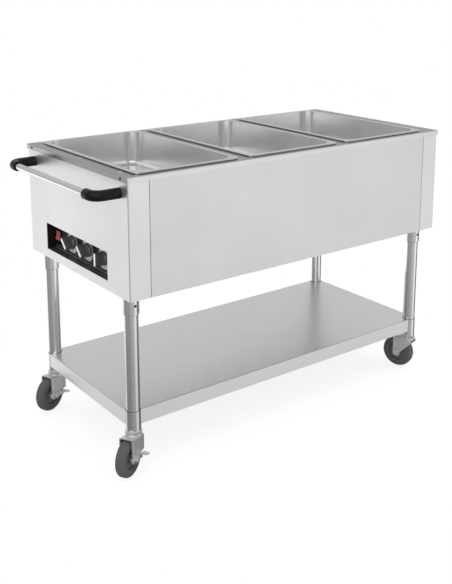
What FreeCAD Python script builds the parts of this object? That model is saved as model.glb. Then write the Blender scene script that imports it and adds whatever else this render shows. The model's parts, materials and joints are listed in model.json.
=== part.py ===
"""Mobile three-pan bain marie: heated wells in a sheet-steel body on a cart with an undershelf and casters.

Every separate piece is built in place and written to its own STEP file.
Units are millimetres, +Z is up, the floor is Z = 0 and the control end faces -X.
"""

import math
import os

import FreeCAD
import Part
from FreeCAD import Vector

# Sheet metal
SHEET = 1.5
BEND_RADIUS = 3.0
SEAM_GAP = 1.4

# Food pans and the wells they hang in
PAN_COUNT = 3
PAN_WIDTH = 325.0
PAN_LENGTH = 530.0
PAN_DEPTH = 100.0
PAN_SHEET = 1.2
PAN_FLANGE = 11.0
PAN_RIM_DROP = 0.8
PAN_CORNER_RADIUS = 18.0
PAN_BODY_RADIUS = 42.0
PAN_DRAFT = 9.0
PAN_FLOOR_RADIUS = 14.0
PAN_TO_WELL = 2.5
PAN_BRIDGE = 32.6
WELL_DEPTH = 170.0
WELL_RIM = 3.0
WELL_FLANGE_INSET = 6.0
WELL_FLOOR_RADIUS = 20.0
WELL_TO_DECK = 0.5

# Body
MARGIN_CONTROL_END = 31.5
MARGIN_PLAIN_END = 52.3
MARGIN_SIDE = 15.5
BODY_HEIGHT = 317.0
CORNER_WRAP = 61.0
JOGGLE_LAP = 18.0
JOGGLE_ROOT = 5.0
END_FLANGE = 27.0
SIDE_FLANGE = 12.0
DECK_LIP_DEPTH = 14.0
DECK_LIP_THICKNESS = 2.5
DECK_LIP_CLEARANCE = 0.5
TRAY_RIM = 12.0
TRAY_CORNER = 6.0

# Control recess
RECESS_WIDTH = 348.0
RECESS_HEIGHT = 77.0
RECESS_DEPTH = 28.0
RECESS_LIFT = 26.0
RECESS_OFFSET = 4.0
RECESS_FLANGE = 12.0
KNOB_COUNT = 3
KNOB_PITCH = 89.5
KNOB_ROW_SHIFT = -17.5
KNOB_TURNS = (-135.0, -135.0, 0.0)
KNOB_SKIRT_RADIUS = 19.5
KNOB_SKIRT_HEIGHT = 6.0
KNOB_BAR_LENGTH = 39.0
KNOB_BAR_WIDTH = 13.0
KNOB_CREST_WIDTH = 11.0
KNOB_BAR_ROUND = 5.6
KNOB_CREST_ROUND = 4.2
KNOB_FOOT_SHORTER = 3.0
KNOB_EDGE = 1.0
KNOB_HEIGHT = 27.0
KNOB_LIFT = 1.0
KNOB_COLLAR_ROOM = 2.5
KNOB_SKIRT_BEVEL = 2.0
KNOB_BORE_SPARE = 1.0
POINTER_WIDTH = 8.4
POINTER_DEPTH = 1.2
POINTER_CLEARANCE = 0.1
POINTER_INSET = 3.0
POINTER_PROUD = 0.2
DIAL_RADIUS = 31.0
DIAL_THICKNESS = 0.8
SHAFT_RADIUS = 3.0
SHAFT_GRIP = 12.0
BUSH_RADIUS = 4.7
BUSH_LENGTH = 5.0
THERMOSTAT_SIZE = (30.0, 40.0, 36.0)
THERMOSTAT_EDGE = 2.0
SWITCH_FROM_EDGE = 20.0
SWITCH_WIDTH = 22.0
SWITCH_HEIGHT = 28.0
SWITCH_WALL = 2.0
SWITCH_BEZEL = 2.5
SWITCH_BEZEL_ROUND = 1.2
SWITCH_BODY_DEPTH = 20.0
SWITCH_POCKET = 11.0
ROCKER_GAP = 0.6
ROCKER_PIN_RADIUS = 1.5
ROCKER_PIVOT_DEPTH = 1.8
ROCKER_TILT = 9.0
ROCKER_PROUD = 3.4
ROCKER_DISH = 2.2
ROCKER_HEEL = 1.0
ROCKER_FLOOR_GAP = 1.5
ROCKER_EDGE = 0.8
ROCKER_PIN_SHORT = 0.4

# Heating
ELEMENT_RADIUS = 4.0
ELEMENT_RUNS = 4
ELEMENT_PITCH = 60.0
ELEMENT_RUN_LENGTH = 330.0
ELEMENT_GAP = 0.3
CLAMP_COUNT = 2
CLAMP_SPACING = 200.0
CLAMP_WIDTH = 22.0
CLAMP_THICKNESS = 2.0
CLAMP_FOOT = 14.0

# Push handle
HANDLE_REACH = 70.0
HANDLE_INSET_SIDE = 40.5
HANDLE_DROP = 45.0
HANDLE_BAR_RADIUS = 9.5
HANDLE_BAR_WALL = 1.5
ELBOW_RADIUS = 14.0
ELBOW_BEND = 27.0
ELBOW_STRAIGHT = 16.0
ELBOW_SOCKET = 20.0
ELBOW_EDGE = 2.0
HANDLE_BOLT_RADIUS = 4.0
HANDLE_BOLT_REACH = 26.0

# Legs and undershelf
LEG_INSET_END = 33.0
LEG_INSET_SIDE = 53.5
LEG_RADIUS = 19.0
LEG_WALL = 1.5
SOCKET_WALL = 2.9
SOCKET_LENGTH = 52.0
SOCKET_EDGE = 1.5
SOCKET_PLATE = 3.0
SOCKET_PLATE_INBOARD = 60.0
SOCKET_PLATE_MARGIN = 5.0
GRUB_RADIUS = 3.5
GRUB_PROUD = 0.3
SHELF_GAP = 316.0
SHELF_EDGE = 41.0
SHELF_RIM_ROUND = 2.5
SHELF_RETURN = 14.0
SHELF_INSET_END = 13.0
SHELF_INSET_SIDE = 40.5
SHELF_NOTCH_GAP = 0.4
COLLAR_WALL = 1.4
COLLAR_EDGE = 1.0
COLLAR_DROP = 13.5
COLLAR_PLATE = 2.0
COLLAR_PLATE_REACH = 62.0

# Casters
WHEEL_RADIUS = 51.0
TYRE_WIDTH = 29.0
TYRE_SHOULDER = 10.0
TYRE_INNER_RADIUS = 36.5
CORE_WIDTH = 32.0
CORE_RIM = 5.0
CORE_RIM_WIDTH = 26.0
CORE_WEB = 9.0
CORE_HUB_RADIUS = 13.0
CORE_HUB_TAPER = 2.0
CORE_WEB_RISE = 1.0
CORE_RIM_TAPER = 2.0
CASTER_TRAIL = 32.0
CASTER_HEADINGS = {
    "front_left": 30.1,
    "rear_left": 23.1,
    "front_right": -73.9,
    "rear_right": 12.0,
}
BRAKED_CASTERS = ("front_left", "rear_left")
FORK_SHEET = 3.0
FORK_SIDE_GAP = 0.5
FORK_CROWN_GAP = 2.0
FORK_SLOPE = 0.15
FORK_FRONT = 11.0
FORK_BACK = 20.0
FORK_BACK_DROP = 6.0
FORK_BRAKE_DROP = 40.0
FORK_LEG = 24.0
FORK_TOE = 14.0
FORK_TOE_ROUND = 8.0
FORK_BEND = 5.0
RACE_RADIUS = 23.0
RACE_LOWER = 7.0
RACE_GAP = 0.6
RACE_UPPER = 9.0
RACE_GROOVE = 3.0
RACE_NECK = 18.5
RACE_LEDGE = 2.0
RACE_ROLL = 1.6
KINGPIN_RADIUS = 5.0
KINGPIN_HEAD_RADIUS = 7.5
KINGPIN_HEAD = 2.0
STEM_LENGTH = 42.0
AXLE_RADIUS = 5.0
AXLE_HEAD_FLATS = 16.0
AXLE_HEAD = 6.0
AXLE_TAIL = 2.0
LEVER_SHEET = 3.0
LEVER_GAP = 0.4
LEVER_HUB = 10.5
LEVER_REACH = 38.0
LEVER_WIDTH = 13.0
LEVER_TAB = 18.0
LEVER_TAB_WIDTH = 20.0
LEVER_TAIL = 20.0
LEVER_TAIL_TAB = 11.0
LEVER_TAIL_WIDTH = 10.5
LEVER_TAB_ROUND = 4.0
LEVER_DIP = 9.0

# Small fixings
RIVET_RADIUS = 2.0
RIVET_HEAD_RADIUS = 4.0
RIVET_HEAD = 1.6
RIVET_COUNT = 3
RIVET_FROM_SIDE = 66.5
RIVET_INSET = 20.0
LIP_SCREW_RADIUS = 2.0
LIP_SCREW_HEAD_RADIUS = 3.6
LIP_SCREW_HEAD = 2.0
LIP_SCREW_FROM_SIDE = 30.5
LIP_SCREW_GRIP = 9.0
GLAND_RADIUS = 10.0
GLAND_FLANGE_RADIUS = 14.0
GLAND_FLANGE = 2.6
GLAND_FLANGE_ROUND = 1.6
GLAND_TAIL = 6.0
GLAND_BORE = 4.5
GLAND_FLATS = 24.0
GLAND_NUT = 6.0
GLAND_FROM_END = 110.0
GLAND_LIFT = 45.0
TERMINAL_FROM_REAR = 90.0
TERMINAL_FROM_GLAND = 36.0
TERMINAL_EDGE = 1.5
TERMINAL_SIZE = (24.0, 62.0, 20.0)
TERMINAL_WAYS = 5
TERMINAL_SCREW_RADIUS = 3.0

# Fits
RUNNING_FIT = 0.05
TUBE_FIT = 0.10
HOLE_CLEARANCE = 0.35

# Sizes that follow from the ones above
BODY_LENGTH = (
    MARGIN_CONTROL_END + PAN_COUNT * PAN_WIDTH + (PAN_COUNT - 1) * PAN_BRIDGE + MARGIN_PLAIN_END
)
BODY_DEPTH = PAN_LENGTH + 2 * MARGIN_SIDE
DECK_OVERHANG = DECK_LIP_THICKNESS + DECK_LIP_CLEARANCE
BODY_X = (HANDLE_REACH + ELBOW_RADIUS - DECK_OVERHANG) / 2
END_X = BODY_X - BODY_LENGTH / 2
FAR_X = BODY_X + BODY_LENGTH / 2
SIDE_Y = BODY_DEPTH / 2

FORK_HALF = CORE_WIDTH / 2 + FORK_SIDE_GAP
FORK_UNDER = 2 * WHEEL_RADIUS + FORK_CROWN_GAP - FORK_SLOPE * CASTER_TRAIL
RACE_BOTTOM = FORK_UNDER + FORK_SHEET
RACE_TOP = RACE_BOTTOM + RACE_LOWER
LEG_BOTTOM = RACE_TOP + RACE_GAP + RACE_UPPER
SHELF_BOTTOM = LEG_BOTTOM + COLLAR_DROP
SHELF_TOP = SHELF_BOTTOM + SHELF_EDGE
BODY_BOTTOM = SHELF_TOP + SHELF_GAP
BODY_TOP = BODY_BOTTOM + BODY_HEIGHT
PANEL_TOP = BODY_TOP - SHEET
TRAY_TOP = BODY_BOTTOM + SHEET

LEG_X = BODY_LENGTH / 2 - LEG_INSET_END
LEG_Y = SIDE_Y - LEG_INSET_SIDE
LEG_PLACES = {
    "front_left": Vector(BODY_X - LEG_X, -LEG_Y, 0),
    "rear_left": Vector(BODY_X - LEG_X, LEG_Y, 0),
    "front_right": Vector(BODY_X + LEG_X, -LEG_Y, 0),
    "rear_right": Vector(BODY_X + LEG_X, LEG_Y, 0),
}
SOCKET_RADIUS = LEG_RADIUS + TUBE_FIT + SOCKET_WALL
COLLAR_RADIUS = LEG_RADIUS + TUBE_FIT + COLLAR_WALL

WELL_WIDTH = PAN_WIDTH - 2 * PAN_FLANGE + 2 * PAN_TO_WELL
WELL_LENGTH = PAN_LENGTH - 2 * PAN_FLANGE + 2 * PAN_TO_WELL
WELL_RADIUS = PAN_BODY_RADIUS
WELL_BOTTOM = BODY_TOP - WELL_DEPTH
PAN_SEAT = BODY_TOP + WELL_RIM
PAN_NAMES = ("left", "middle", "right")
PAN_X = [
    END_X + MARGIN_CONTROL_END + PAN_WIDTH / 2 + i * (PAN_WIDTH + PAN_BRIDGE)
    for i in range(PAN_COUNT)
]

RECESS_BACK = END_X + RECESS_DEPTH
RECESS_Z = BODY_BOTTOM + RECESS_LIFT + RECESS_HEIGHT / 2
KNOB_Y = [
    RECESS_OFFSET + KNOB_ROW_SHIFT + KNOB_PITCH * (KNOB_COUNT - 1) / 2 - i * KNOB_PITCH
    for i in range(KNOB_COUNT)
]
SWITCH_Y = RECESS_OFFSET + RECESS_WIDTH / 2 - SWITCH_FROM_EDGE
HANDLE_Z = BODY_TOP - HANDLE_DROP
HANDLE_Y = SIDE_Y - HANDLE_INSET_SIDE

OUT = Vector(-1, 0, 0)
BACK = Vector(0, 1, 0)
UP = Vector(0, 0, 1)


def box(x0, x1, y0, y1, z0, z1):
    """Box between two opposite corners."""
    return Part.makeBox(x1 - x0, y1 - y0, z1 - z0, Vector(x0, y0, z0))


def rod(radius, start, end):
    """Cylinder between two points."""
    along = end - start
    return Part.makeCylinder(radius, along.Length, start, along)


def tube(outer, inner, start, end):
    """Round tube between two points."""
    return rod(outer, start, end).cut(rod(inner, start, end))


def hexagon(flats, start, along):
    """Hexagonal prism with a given width across flats."""
    reach = flats / math.sqrt(3)
    points = []
    for i in range(7):
        turn = math.radians(60 * i)
        points.append(Vector(reach * math.cos(turn), reach * math.sin(turn), 0))
    prism = Part.Face(Part.makePolygon(points)).extrude(Vector(0, 0, along.Length))
    prism.Placement = FreeCAD.Placement(start, FreeCAD.Rotation(UP, along))
    return prism


def rounded_wire(x, y, z, width, length, radius):
    """Closed outline of a rounded rectangle lying level."""
    dx = width / 2
    dy = length / 2
    r = radius
    k = r * (1 - math.sqrt(0.5))
    corners = ((1, 1), (-1, 1), (-1, -1), (1, -1))
    arcs = []
    for sx, sy in corners:
        side = Vector(x + sx * dx, y + sy * (dy - r), z)
        crown = Vector(x + sx * (dx - k), y + sy * (dy - k), z)
        end = Vector(x + sx * (dx - r), y + sy * dy, z)
        first, last = (side, end) if sx * sy > 0 else (end, side)
        arcs.append(Part.Arc(first, crown, last).toShape())
    edges = []
    for i, arc in enumerate(arcs):
        edges.append(arc)
        start = arc.valueAt(arc.LastParameter)
        following = arcs[(i + 1) % 4]
        edges.append(Part.makeLine(start, following.valueAt(following.FirstParameter)))
    return Part.Wire(edges)


def rounded_block(x, y, z0, z1, width, length, radius):
    """Upright block with a rounded rectangular outline."""
    return Part.Face(rounded_wire(x, y, z0, width, length, radius)).extrude(Vector(0, 0, z1 - z0))


def tapered_block(x, y, low, high, floor_radius):
    """Block that widens upward, with a rounded floor edge.

    low and high are (z, width, length, corner radius).
    """
    wires = [rounded_wire(x, y, *low), rounded_wire(x, y, *high)]
    block = Part.makeLoft(wires, True, True)
    return block.makeFillet(floor_radius, edges_at(block, lambda p: abs(p.z - low[0]) < 0.01))


def edges_at(shape, test):
    """Edges whose middle point passes a test."""
    chosen = []
    for edge in shape.Edges:
        middle = edge.valueAt((edge.FirstParameter + edge.LastParameter) / 2)
        if test(middle):
            chosen.append(edge)
    return chosen


def spin(profile, origin, axis):
    """Solid of revolution from (radius, height) points, set up along an axis."""
    points = [Vector(r, 0, h) for r, h in profile]
    face = Part.Face(Part.makePolygon(points + points[:1]))
    solid = face.revolve(Vector(0, 0, 0), UP, 360)
    solid.Placement = FreeCAD.Placement(origin, FreeCAD.Rotation(UP, axis))
    return solid


def end_panel(sign):
    """End face with its two wrapped corners, a top flange and the fixing holes."""
    face_x = BODY_X + sign * BODY_LENGTH / 2
    wrap_x = face_x - sign * CORNER_WRAP
    inner_x = face_x - sign * SHEET
    x0, x1 = sorted((face_x, wrap_x))
    i0, i1 = sorted((inner_x, wrap_x))
    inner_y = SIDE_Y - SHEET
    panel = box(x0, x1, -SIDE_Y, SIDE_Y, BODY_BOTTOM, PANEL_TOP)
    panel = panel.cut(box(i0, i1, -inner_y, inner_y, BODY_BOTTOM, PANEL_TOP))
    outer = edges_at(panel, lambda p: abs(p.x - face_x) < 0.01 and abs(abs(p.y) - SIDE_Y) < 0.01)
    panel = panel.makeFillet(BEND_RADIUS, outer)
    inner = edges_at(panel, lambda p: abs(p.x - inner_x) < 0.01 and abs(abs(p.y) - inner_y) < 0.01)
    panel = panel.makeFillet(BEND_RADIUS - SHEET, inner)
    f0, f1 = sorted((inner_x, face_x - sign * END_FLANGE))
    flange_y = inner_y - SIDE_FLANGE - BEND_RADIUS
    panel = panel.fuse(box(f0, f1, -flange_y, flange_y, PANEL_TOP - SHEET, PANEL_TOP))
    for spot in rivet_spots(sign):
        panel = panel.cut(rod(RIVET_RADIUS + RUNNING_FIT, spot - UP * 2 * SHEET, spot))
    for spot in lip_screw_spots(sign):
        inward = Vector(-sign * LIP_SCREW_GRIP, 0, 0)
        panel = panel.cut(rod(LIP_SCREW_RADIUS + RUNNING_FIT, spot, spot + inward))
    if sign < 0:
        y0 = RECESS_OFFSET - RECESS_WIDTH / 2
        z0 = RECESS_Z - RECESS_HEIGHT / 2
        panel = panel.cut(box(x0, i0, y0, y0 + RECESS_WIDTH, z0, z0 + RECESS_HEIGHT))
        for y in (-HANDLE_Y, HANDLE_Y):
            start = Vector(face_x, y, HANDLE_Z)
            panel = panel.cut(rod(HANDLE_BOLT_RADIUS + HOLE_CLEARANCE, start, start - OUT * SHEET))
    return panel.removeSplitter()


def rivet_spots(sign):
    """Places on the deck surface where a row of rivets goes through an end margin."""
    x = BODY_X + sign * (BODY_LENGTH / 2 - RIVET_INSET)
    reach = SIDE_Y - RIVET_FROM_SIDE
    step = 2 * reach / (RIVET_COUNT - 1)
    return [Vector(x, i * step - reach, BODY_TOP) for i in range(RIVET_COUNT)]


def lip_screw_spots(sign):
    """Places on the outside of an end lip where its screws go in."""
    x = BODY_X + sign * (BODY_LENGTH / 2 + DECK_OVERHANG)
    z = BODY_TOP - DECK_LIP_DEPTH / 2
    reach = SIDE_Y - LIP_SCREW_FROM_SIDE
    return [Vector(x, y, z) for y in (-reach, reach)]


def long_panel(sign):
    """Long side let in flush between the end panels, with a joggled lap behind each seam."""
    x0 = END_X + CORNER_WRAP + SEAM_GAP
    x1 = FAR_X - CORNER_WRAP - SEAM_GAP
    outer = sign * SIDE_Y
    inner = sign * (SIDE_Y - SHEET)
    lap = sign * (SIDE_Y - 2 * SHEET)
    flange = sign * (SIDE_Y - SHEET - SIDE_FLANGE)
    lap_bottom = BODY_BOTTOM + TRAY_RIM + SHEET
    lap_top = PANEL_TOP - 2 * SHEET
    panel = box(x0, x1, *sorted((outer, inner)), BODY_BOTTOM, PANEL_TOP)
    panel = panel.fuse(box(x0, x1, *sorted((inner, flange)), PANEL_TOP - SHEET, PANEL_TOP))
    for seam, way in ((x0, -1), (x1, 1)):
        a, b = sorted((seam - way * JOGGLE_ROOT, seam + way * JOGGLE_LAP))
        panel = panel.fuse(box(a, b, *sorted((inner, lap)), lap_bottom, lap_top))
    if sign > 0:
        spot = gland_spot()
        panel = panel.cut(rod(GLAND_RADIUS + HOLE_CLEARANCE, spot - BACK * SHEET, spot))
    return panel.removeSplitter()


def top_deck():
    """Deck sheet with a folded lip and one opening for each well."""
    over_x0 = END_X - DECK_OVERHANG
    over_x1 = FAR_X + DECK_OVERHANG
    over_y = SIDE_Y + DECK_OVERHANG
    gap = DECK_LIP_CLEARANCE
    deck = box(over_x0, over_x1, -over_y, over_y, BODY_TOP - DECK_LIP_DEPTH, BODY_TOP)
    hollow = box(
        END_X - gap, FAR_X + gap, -SIDE_Y - gap, SIDE_Y + gap, BODY_TOP - DECK_LIP_DEPTH, PANEL_TOP
    )
    corners = edges_at(deck, lambda p: abs(p.z - BODY_TOP + DECK_LIP_DEPTH / 2) < 0.01)
    deck = deck.makeFillet(BEND_RADIUS + gap, corners)
    rim = edges_at(deck, lambda p: abs(p.z - BODY_TOP) < 0.01)
    deck = deck.makeFillet(SHEET, rim)
    deck = deck.cut(hollow)
    for x in PAN_X:
        wide = WELL_WIDTH + 2 * (SHEET + WELL_TO_DECK)
        long = WELL_LENGTH + 2 * (SHEET + WELL_TO_DECK)
        radius = WELL_RADIUS + SHEET + WELL_TO_DECK
        deck = deck.cut(rounded_block(x, 0, PANEL_TOP - SHEET, BODY_TOP + SHEET, wide, long, radius))
    for sign in (-1, 1):
        for spot in rivet_spots(sign):
            deck = deck.cut(rod(RIVET_RADIUS + HOLE_CLEARANCE, spot - UP * SHEET, spot))
        for spot in lip_screw_spots(sign):
            inward = Vector(-sign * DECK_OVERHANG, 0, 0)
            deck = deck.cut(rod(LIP_SCREW_RADIUS + HOLE_CLEARANCE, spot, spot + inward))
    return deck


def base_tray():
    """Tray that closes the body from below, with holes for the leg sockets."""
    x = BODY_X
    wide = BODY_LENGTH - 2 * SHEET
    deep = BODY_DEPTH - 2 * SHEET
    tray = rounded_block(x, 0, BODY_BOTTOM, BODY_BOTTOM + TRAY_RIM, wide, deep, TRAY_CORNER)
    inside = rounded_block(
        x, 0, TRAY_TOP, BODY_BOTTOM + TRAY_RIM, wide - 2 * SHEET, deep - 2 * SHEET, TRAY_CORNER - SHEET
    )
    tray = tray.cut(inside)
    for place in LEG_PLACES.values():
        hole = rod(SOCKET_RADIUS + HOLE_CLEARANCE, place + UP * BODY_BOTTOM, place + UP * TRAY_TOP)
        tray = tray.cut(hole)
    return tray


def gland_spot():
    """Point on the outside of the rear panel where the cable gland is fixed."""
    return Vector(END_X + GLAND_FROM_END, SIDE_Y, BODY_BOTTOM + GLAND_LIFT)


def well(x):
    """Deep-drawn well hung in the deck by its rim."""
    rim = rounded_block(
        x,
        0,
        BODY_TOP,
        PAN_SEAT,
        PAN_WIDTH - 2 * WELL_FLANGE_INSET,
        PAN_LENGTH - 2 * WELL_FLANGE_INSET,
        PAN_CORNER_RADIUS - WELL_FLANGE_INSET,
    )
    wall = 2 * SHEET
    low = (WELL_BOTTOM - SHEET, WELL_WIDTH + wall, WELL_LENGTH + wall, WELL_RADIUS + SHEET)
    shell = tapered_block(x, 0, low, (PAN_SEAT,) + low[1:], WELL_FLOOR_RADIUS + SHEET)
    low = (WELL_BOTTOM, WELL_WIDTH, WELL_LENGTH, WELL_RADIUS)
    inside = tapered_block(x, 0, low, (PAN_SEAT,) + low[1:], WELL_FLOOR_RADIUS)
    return rim.fuse(shell).cut(inside).removeSplitter()


def pan(x):
    """Lift-out pan with a drafted body and a level flange with a turned-down edge."""
    top = PAN_SEAT + PAN_SHEET
    flange = rounded_block(x, 0, PAN_SEAT - PAN_RIM_DROP, top, PAN_WIDTH, PAN_LENGTH, PAN_CORNER_RADIUS)
    flange = flange.makeFillet(PAN_SHEET * 0.7, edges_at(flange, lambda p: abs(p.z - top) < 0.01))
    under = rounded_block(
        x,
        0,
        PAN_SEAT - PAN_RIM_DROP,
        PAN_SEAT,
        PAN_WIDTH - 2 * PAN_SHEET,
        PAN_LENGTH - 2 * PAN_SHEET,
        PAN_CORNER_RADIUS - PAN_SHEET,
    )
    flange = flange.cut(under)
    wide = PAN_WIDTH - 2 * PAN_FLANGE
    deep = PAN_LENGTH - 2 * PAN_FLANGE
    floor = top - PAN_DEPTH
    narrow = 2 * PAN_DRAFT
    low = (floor, wide - narrow, deep - narrow, PAN_BODY_RADIUS - PAN_DRAFT)
    outer = tapered_block(x, 0, low, (top, wide, deep, PAN_BODY_RADIUS), PAN_FLOOR_RADIUS)
    wall = 2 * PAN_SHEET
    low = (floor + PAN_SHEET, wide - narrow - wall, deep - narrow - wall, PAN_BODY_RADIUS - PAN_DRAFT)
    high = (top, wide - wall, deep - wall, PAN_BODY_RADIUS)
    inner = tapered_block(x, 0, low, high, PAN_FLOOR_RADIUS - PAN_SHEET)
    return flange.fuse(outer).cut(inner).removeSplitter()


def heating_element(x):
    """Tubular element bent to and fro under a well, with straight terminal ends."""
    z = WELL_BOTTOM - SHEET - ELEMENT_GAP - ELEMENT_RADIUS
    bend = ELEMENT_PITCH / 2
    start_x = x - ELEMENT_PITCH * (ELEMENT_RUNS - 1) / 2
    near = -ELEMENT_RUN_LENGTH / 2
    far = ELEMENT_RUN_LENGTH / 2
    edges = []
    for i in range(ELEMENT_RUNS):
        run_x = start_x + i * ELEMENT_PITCH
        first = near - bend if i == 0 else near
        last = near - bend if i == ELEMENT_RUNS - 1 else near
        a, b = (first, far) if i % 2 == 0 else (far, last)
        edges.append(Part.makeLine(Vector(run_x, a, z), Vector(run_x, b, z)))
        if i < ELEMENT_RUNS - 1:
            y = far if i % 2 == 0 else near
            way = 1 if i % 2 == 0 else -1
            crown = Vector(run_x + bend, y + way * bend, z)
            arc = Part.Arc(Vector(run_x, y, z), crown, Vector(run_x + ELEMENT_PITCH, y, z))
            edges.append(arc.toShape())
    path = Part.Wire(edges)
    ring = Part.Wire(Part.makeCircle(ELEMENT_RADIUS, edges[0].Vertexes[0].Point, Vector(0, 1, 0)))
    return path.makePipeShell([ring], True, False)


def element_clamps(x):
    """Strips that hold an element up against the floor of its well."""
    ceiling = WELL_BOTTOM - SHEET
    seat = ceiling - 2 * (ELEMENT_RADIUS + ELEMENT_GAP)
    half = ELEMENT_PITCH * (ELEMENT_RUNS - 1) / 2 + ELEMENT_PITCH / 4
    clamps = []
    for i in range(CLAMP_COUNT):
        y = i * CLAMP_SPACING - CLAMP_SPACING * (CLAMP_COUNT - 1) / 2
        y0 = y - CLAMP_WIDTH / 2
        y1 = y + CLAMP_WIDTH / 2
        strip = box(x - half, x + half, y0, y1, seat - CLAMP_THICKNESS, seat)
        for way in (-1, 1):
            a, b = sorted((x + way * half, x + way * (half - CLAMP_THICKNESS)))
            strip = strip.fuse(box(a, b, y0, y1, seat, ceiling))
            a, b = sorted((x + way * half, x + way * (half + CLAMP_FOOT)))
            strip = strip.fuse(box(a, b, y0, y1, ceiling - CLAMP_THICKNESS, ceiling))
        clamps.append(strip.removeSplitter())
    return clamps


def control_housing():
    """Box behind the cut-out of the control end panel, with a flange against the panel."""
    y0 = RECESS_OFFSET - RECESS_WIDTH / 2
    y1 = RECESS_OFFSET + RECESS_WIDTH / 2
    z0 = RECESS_Z - RECESS_HEIGHT / 2
    z1 = RECESS_Z + RECESS_HEIGHT / 2
    x0 = END_X + SHEET
    t = SHEET
    f = RECESS_FLANGE
    housing = box(x0, RECESS_BACK + t, y0 - t, y1 + t, z0 - t, z1 + t)
    housing = housing.fuse(box(x0, x0 + t, y0 - f, y1 + f, z0 - f, z1 + f))
    housing = housing.cut(box(x0, RECESS_BACK, y0, y1, z0, z1))
    for y in KNOB_Y:
        start = Vector(RECESS_BACK, y, RECESS_Z)
        housing = housing.cut(rod(BUSH_RADIUS + HOLE_CLEARANCE, start, start - OUT * t))
    half_y = SWITCH_WIDTH / 2 + SWITCH_WALL + HOLE_CLEARANCE
    half_z = SWITCH_HEIGHT / 2 + SWITCH_WALL + HOLE_CLEARANCE
    y, z = SWITCH_Y, RECESS_Z
    hole = box(RECESS_BACK, RECESS_BACK + t, y - half_y, y + half_y, z - half_z, z + half_z)
    return housing.cut(hole).removeSplitter()


def thermostat(y):
    """Thermostat block behind the housing, with its bush and shaft coming through."""
    deep, wide, tall = THERMOSTAT_SIZE
    back = RECESS_BACK + SHEET
    block = box(back, back + deep, y - wide / 2, y + wide / 2, RECESS_Z - tall / 2, RECESS_Z + tall / 2)
    block = block.makeChamfer(THERMOSTAT_EDGE, edges_at(block, lambda p: abs(p.x - back - deep) < 0.01))
    start = Vector(back, y, RECESS_Z)
    block = block.fuse(rod(BUSH_RADIUS, start, start + OUT * (SHEET + BUSH_LENGTH)))
    tip = RECESS_BACK - DIAL_THICKNESS - KNOB_LIFT - KNOB_SKIRT_HEIGHT - SHAFT_GRIP
    return block.fuse(rod(SHAFT_RADIUS, start, Vector(tip, y, RECESS_Z))).removeSplitter()


def dial_plate(y):
    """Round scale plate lying on the back wall of the recess."""
    start = Vector(RECESS_BACK, y, RECESS_Z)
    return tube(DIAL_RADIUS, BUSH_RADIUS + HOLE_CLEARANCE, start, start + OUT * DIAL_THICKNESS)


def knob_pair(y, turn):
    """Control knob and the bright strip let into its grip, turned to a setting."""
    slot_half = POINTER_WIDTH / 2 + POINTER_CLEARANCE
    strip_reach = KNOB_BAR_LENGTH / 2 - POINTER_INSET
    collar = BUSH_RADIUS + KNOB_COLLAR_ROOM
    collar_height = BUSH_LENGTH
    skirt = [
        (collar, 0),
        (KNOB_SKIRT_RADIUS, 0),
        (KNOB_SKIRT_RADIUS, KNOB_SKIRT_HEIGHT * 0.5),
        (KNOB_SKIRT_RADIUS - KNOB_SKIRT_BEVEL, KNOB_SKIRT_HEIGHT),
        (0, KNOB_SKIRT_HEIGHT),
        (0, collar_height),
        (collar, collar_height),
    ]
    knob = spin(skirt, Vector(0, 0, 0), UP)
    foot_length = KNOB_BAR_LENGTH - KNOB_FOOT_SHORTER
    foot = rounded_wire(0, 0, KNOB_SKIRT_HEIGHT * 0.7, KNOB_BAR_WIDTH, foot_length, KNOB_BAR_ROUND)
    crest = rounded_wire(0, 0, KNOB_HEIGHT, KNOB_CREST_WIDTH, KNOB_BAR_LENGTH, KNOB_CREST_ROUND)
    bar = Part.makeLoft([foot, crest], True, True)
    bar = bar.makeFillet(KNOB_EDGE, edges_at(bar, lambda p: abs(p.z - KNOB_HEIGHT) < 0.01))
    knob = knob.fuse(bar).removeSplitter()
    slot_floor = KNOB_HEIGHT - POINTER_DEPTH
    knob = knob.cut(
        box(-slot_half, slot_half, -strip_reach, strip_reach, slot_floor, KNOB_HEIGHT + 1)
    )
    bore_top = KNOB_SKIRT_HEIGHT + SHAFT_GRIP + KNOB_BORE_SPARE
    knob = knob.cut(rod(SHAFT_RADIUS + RUNNING_FIT, Vector(0, 0, 0), Vector(0, 0, bore_top)))
    reach = strip_reach - POINTER_CLEARANCE
    strip_top = KNOB_HEIGHT + POINTER_PROUD
    strip = box(-POINTER_WIDTH / 2, POINTER_WIDTH / 2, -reach, reach, slot_floor, strip_top)
    seat = Vector(RECESS_BACK - DIAL_THICKNESS - KNOB_LIFT, y, RECESS_Z)
    frame = FreeCAD.Matrix(0, 0, -1, 0, -1, 0, 0, 0, 0, 1, 0, 0, 0, 0, 0, 1)
    upright = FreeCAD.Placement(frame)
    swing = FreeCAD.Placement(Vector(0, 0, 0), FreeCAD.Rotation(OUT, turn))
    move = FreeCAD.Placement(seat, FreeCAD.Rotation())
    for shape in (knob, strip):
        shape.Placement = move.multiply(swing).multiply(upright).multiply(shape.Placement)
    return knob, strip


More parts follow.
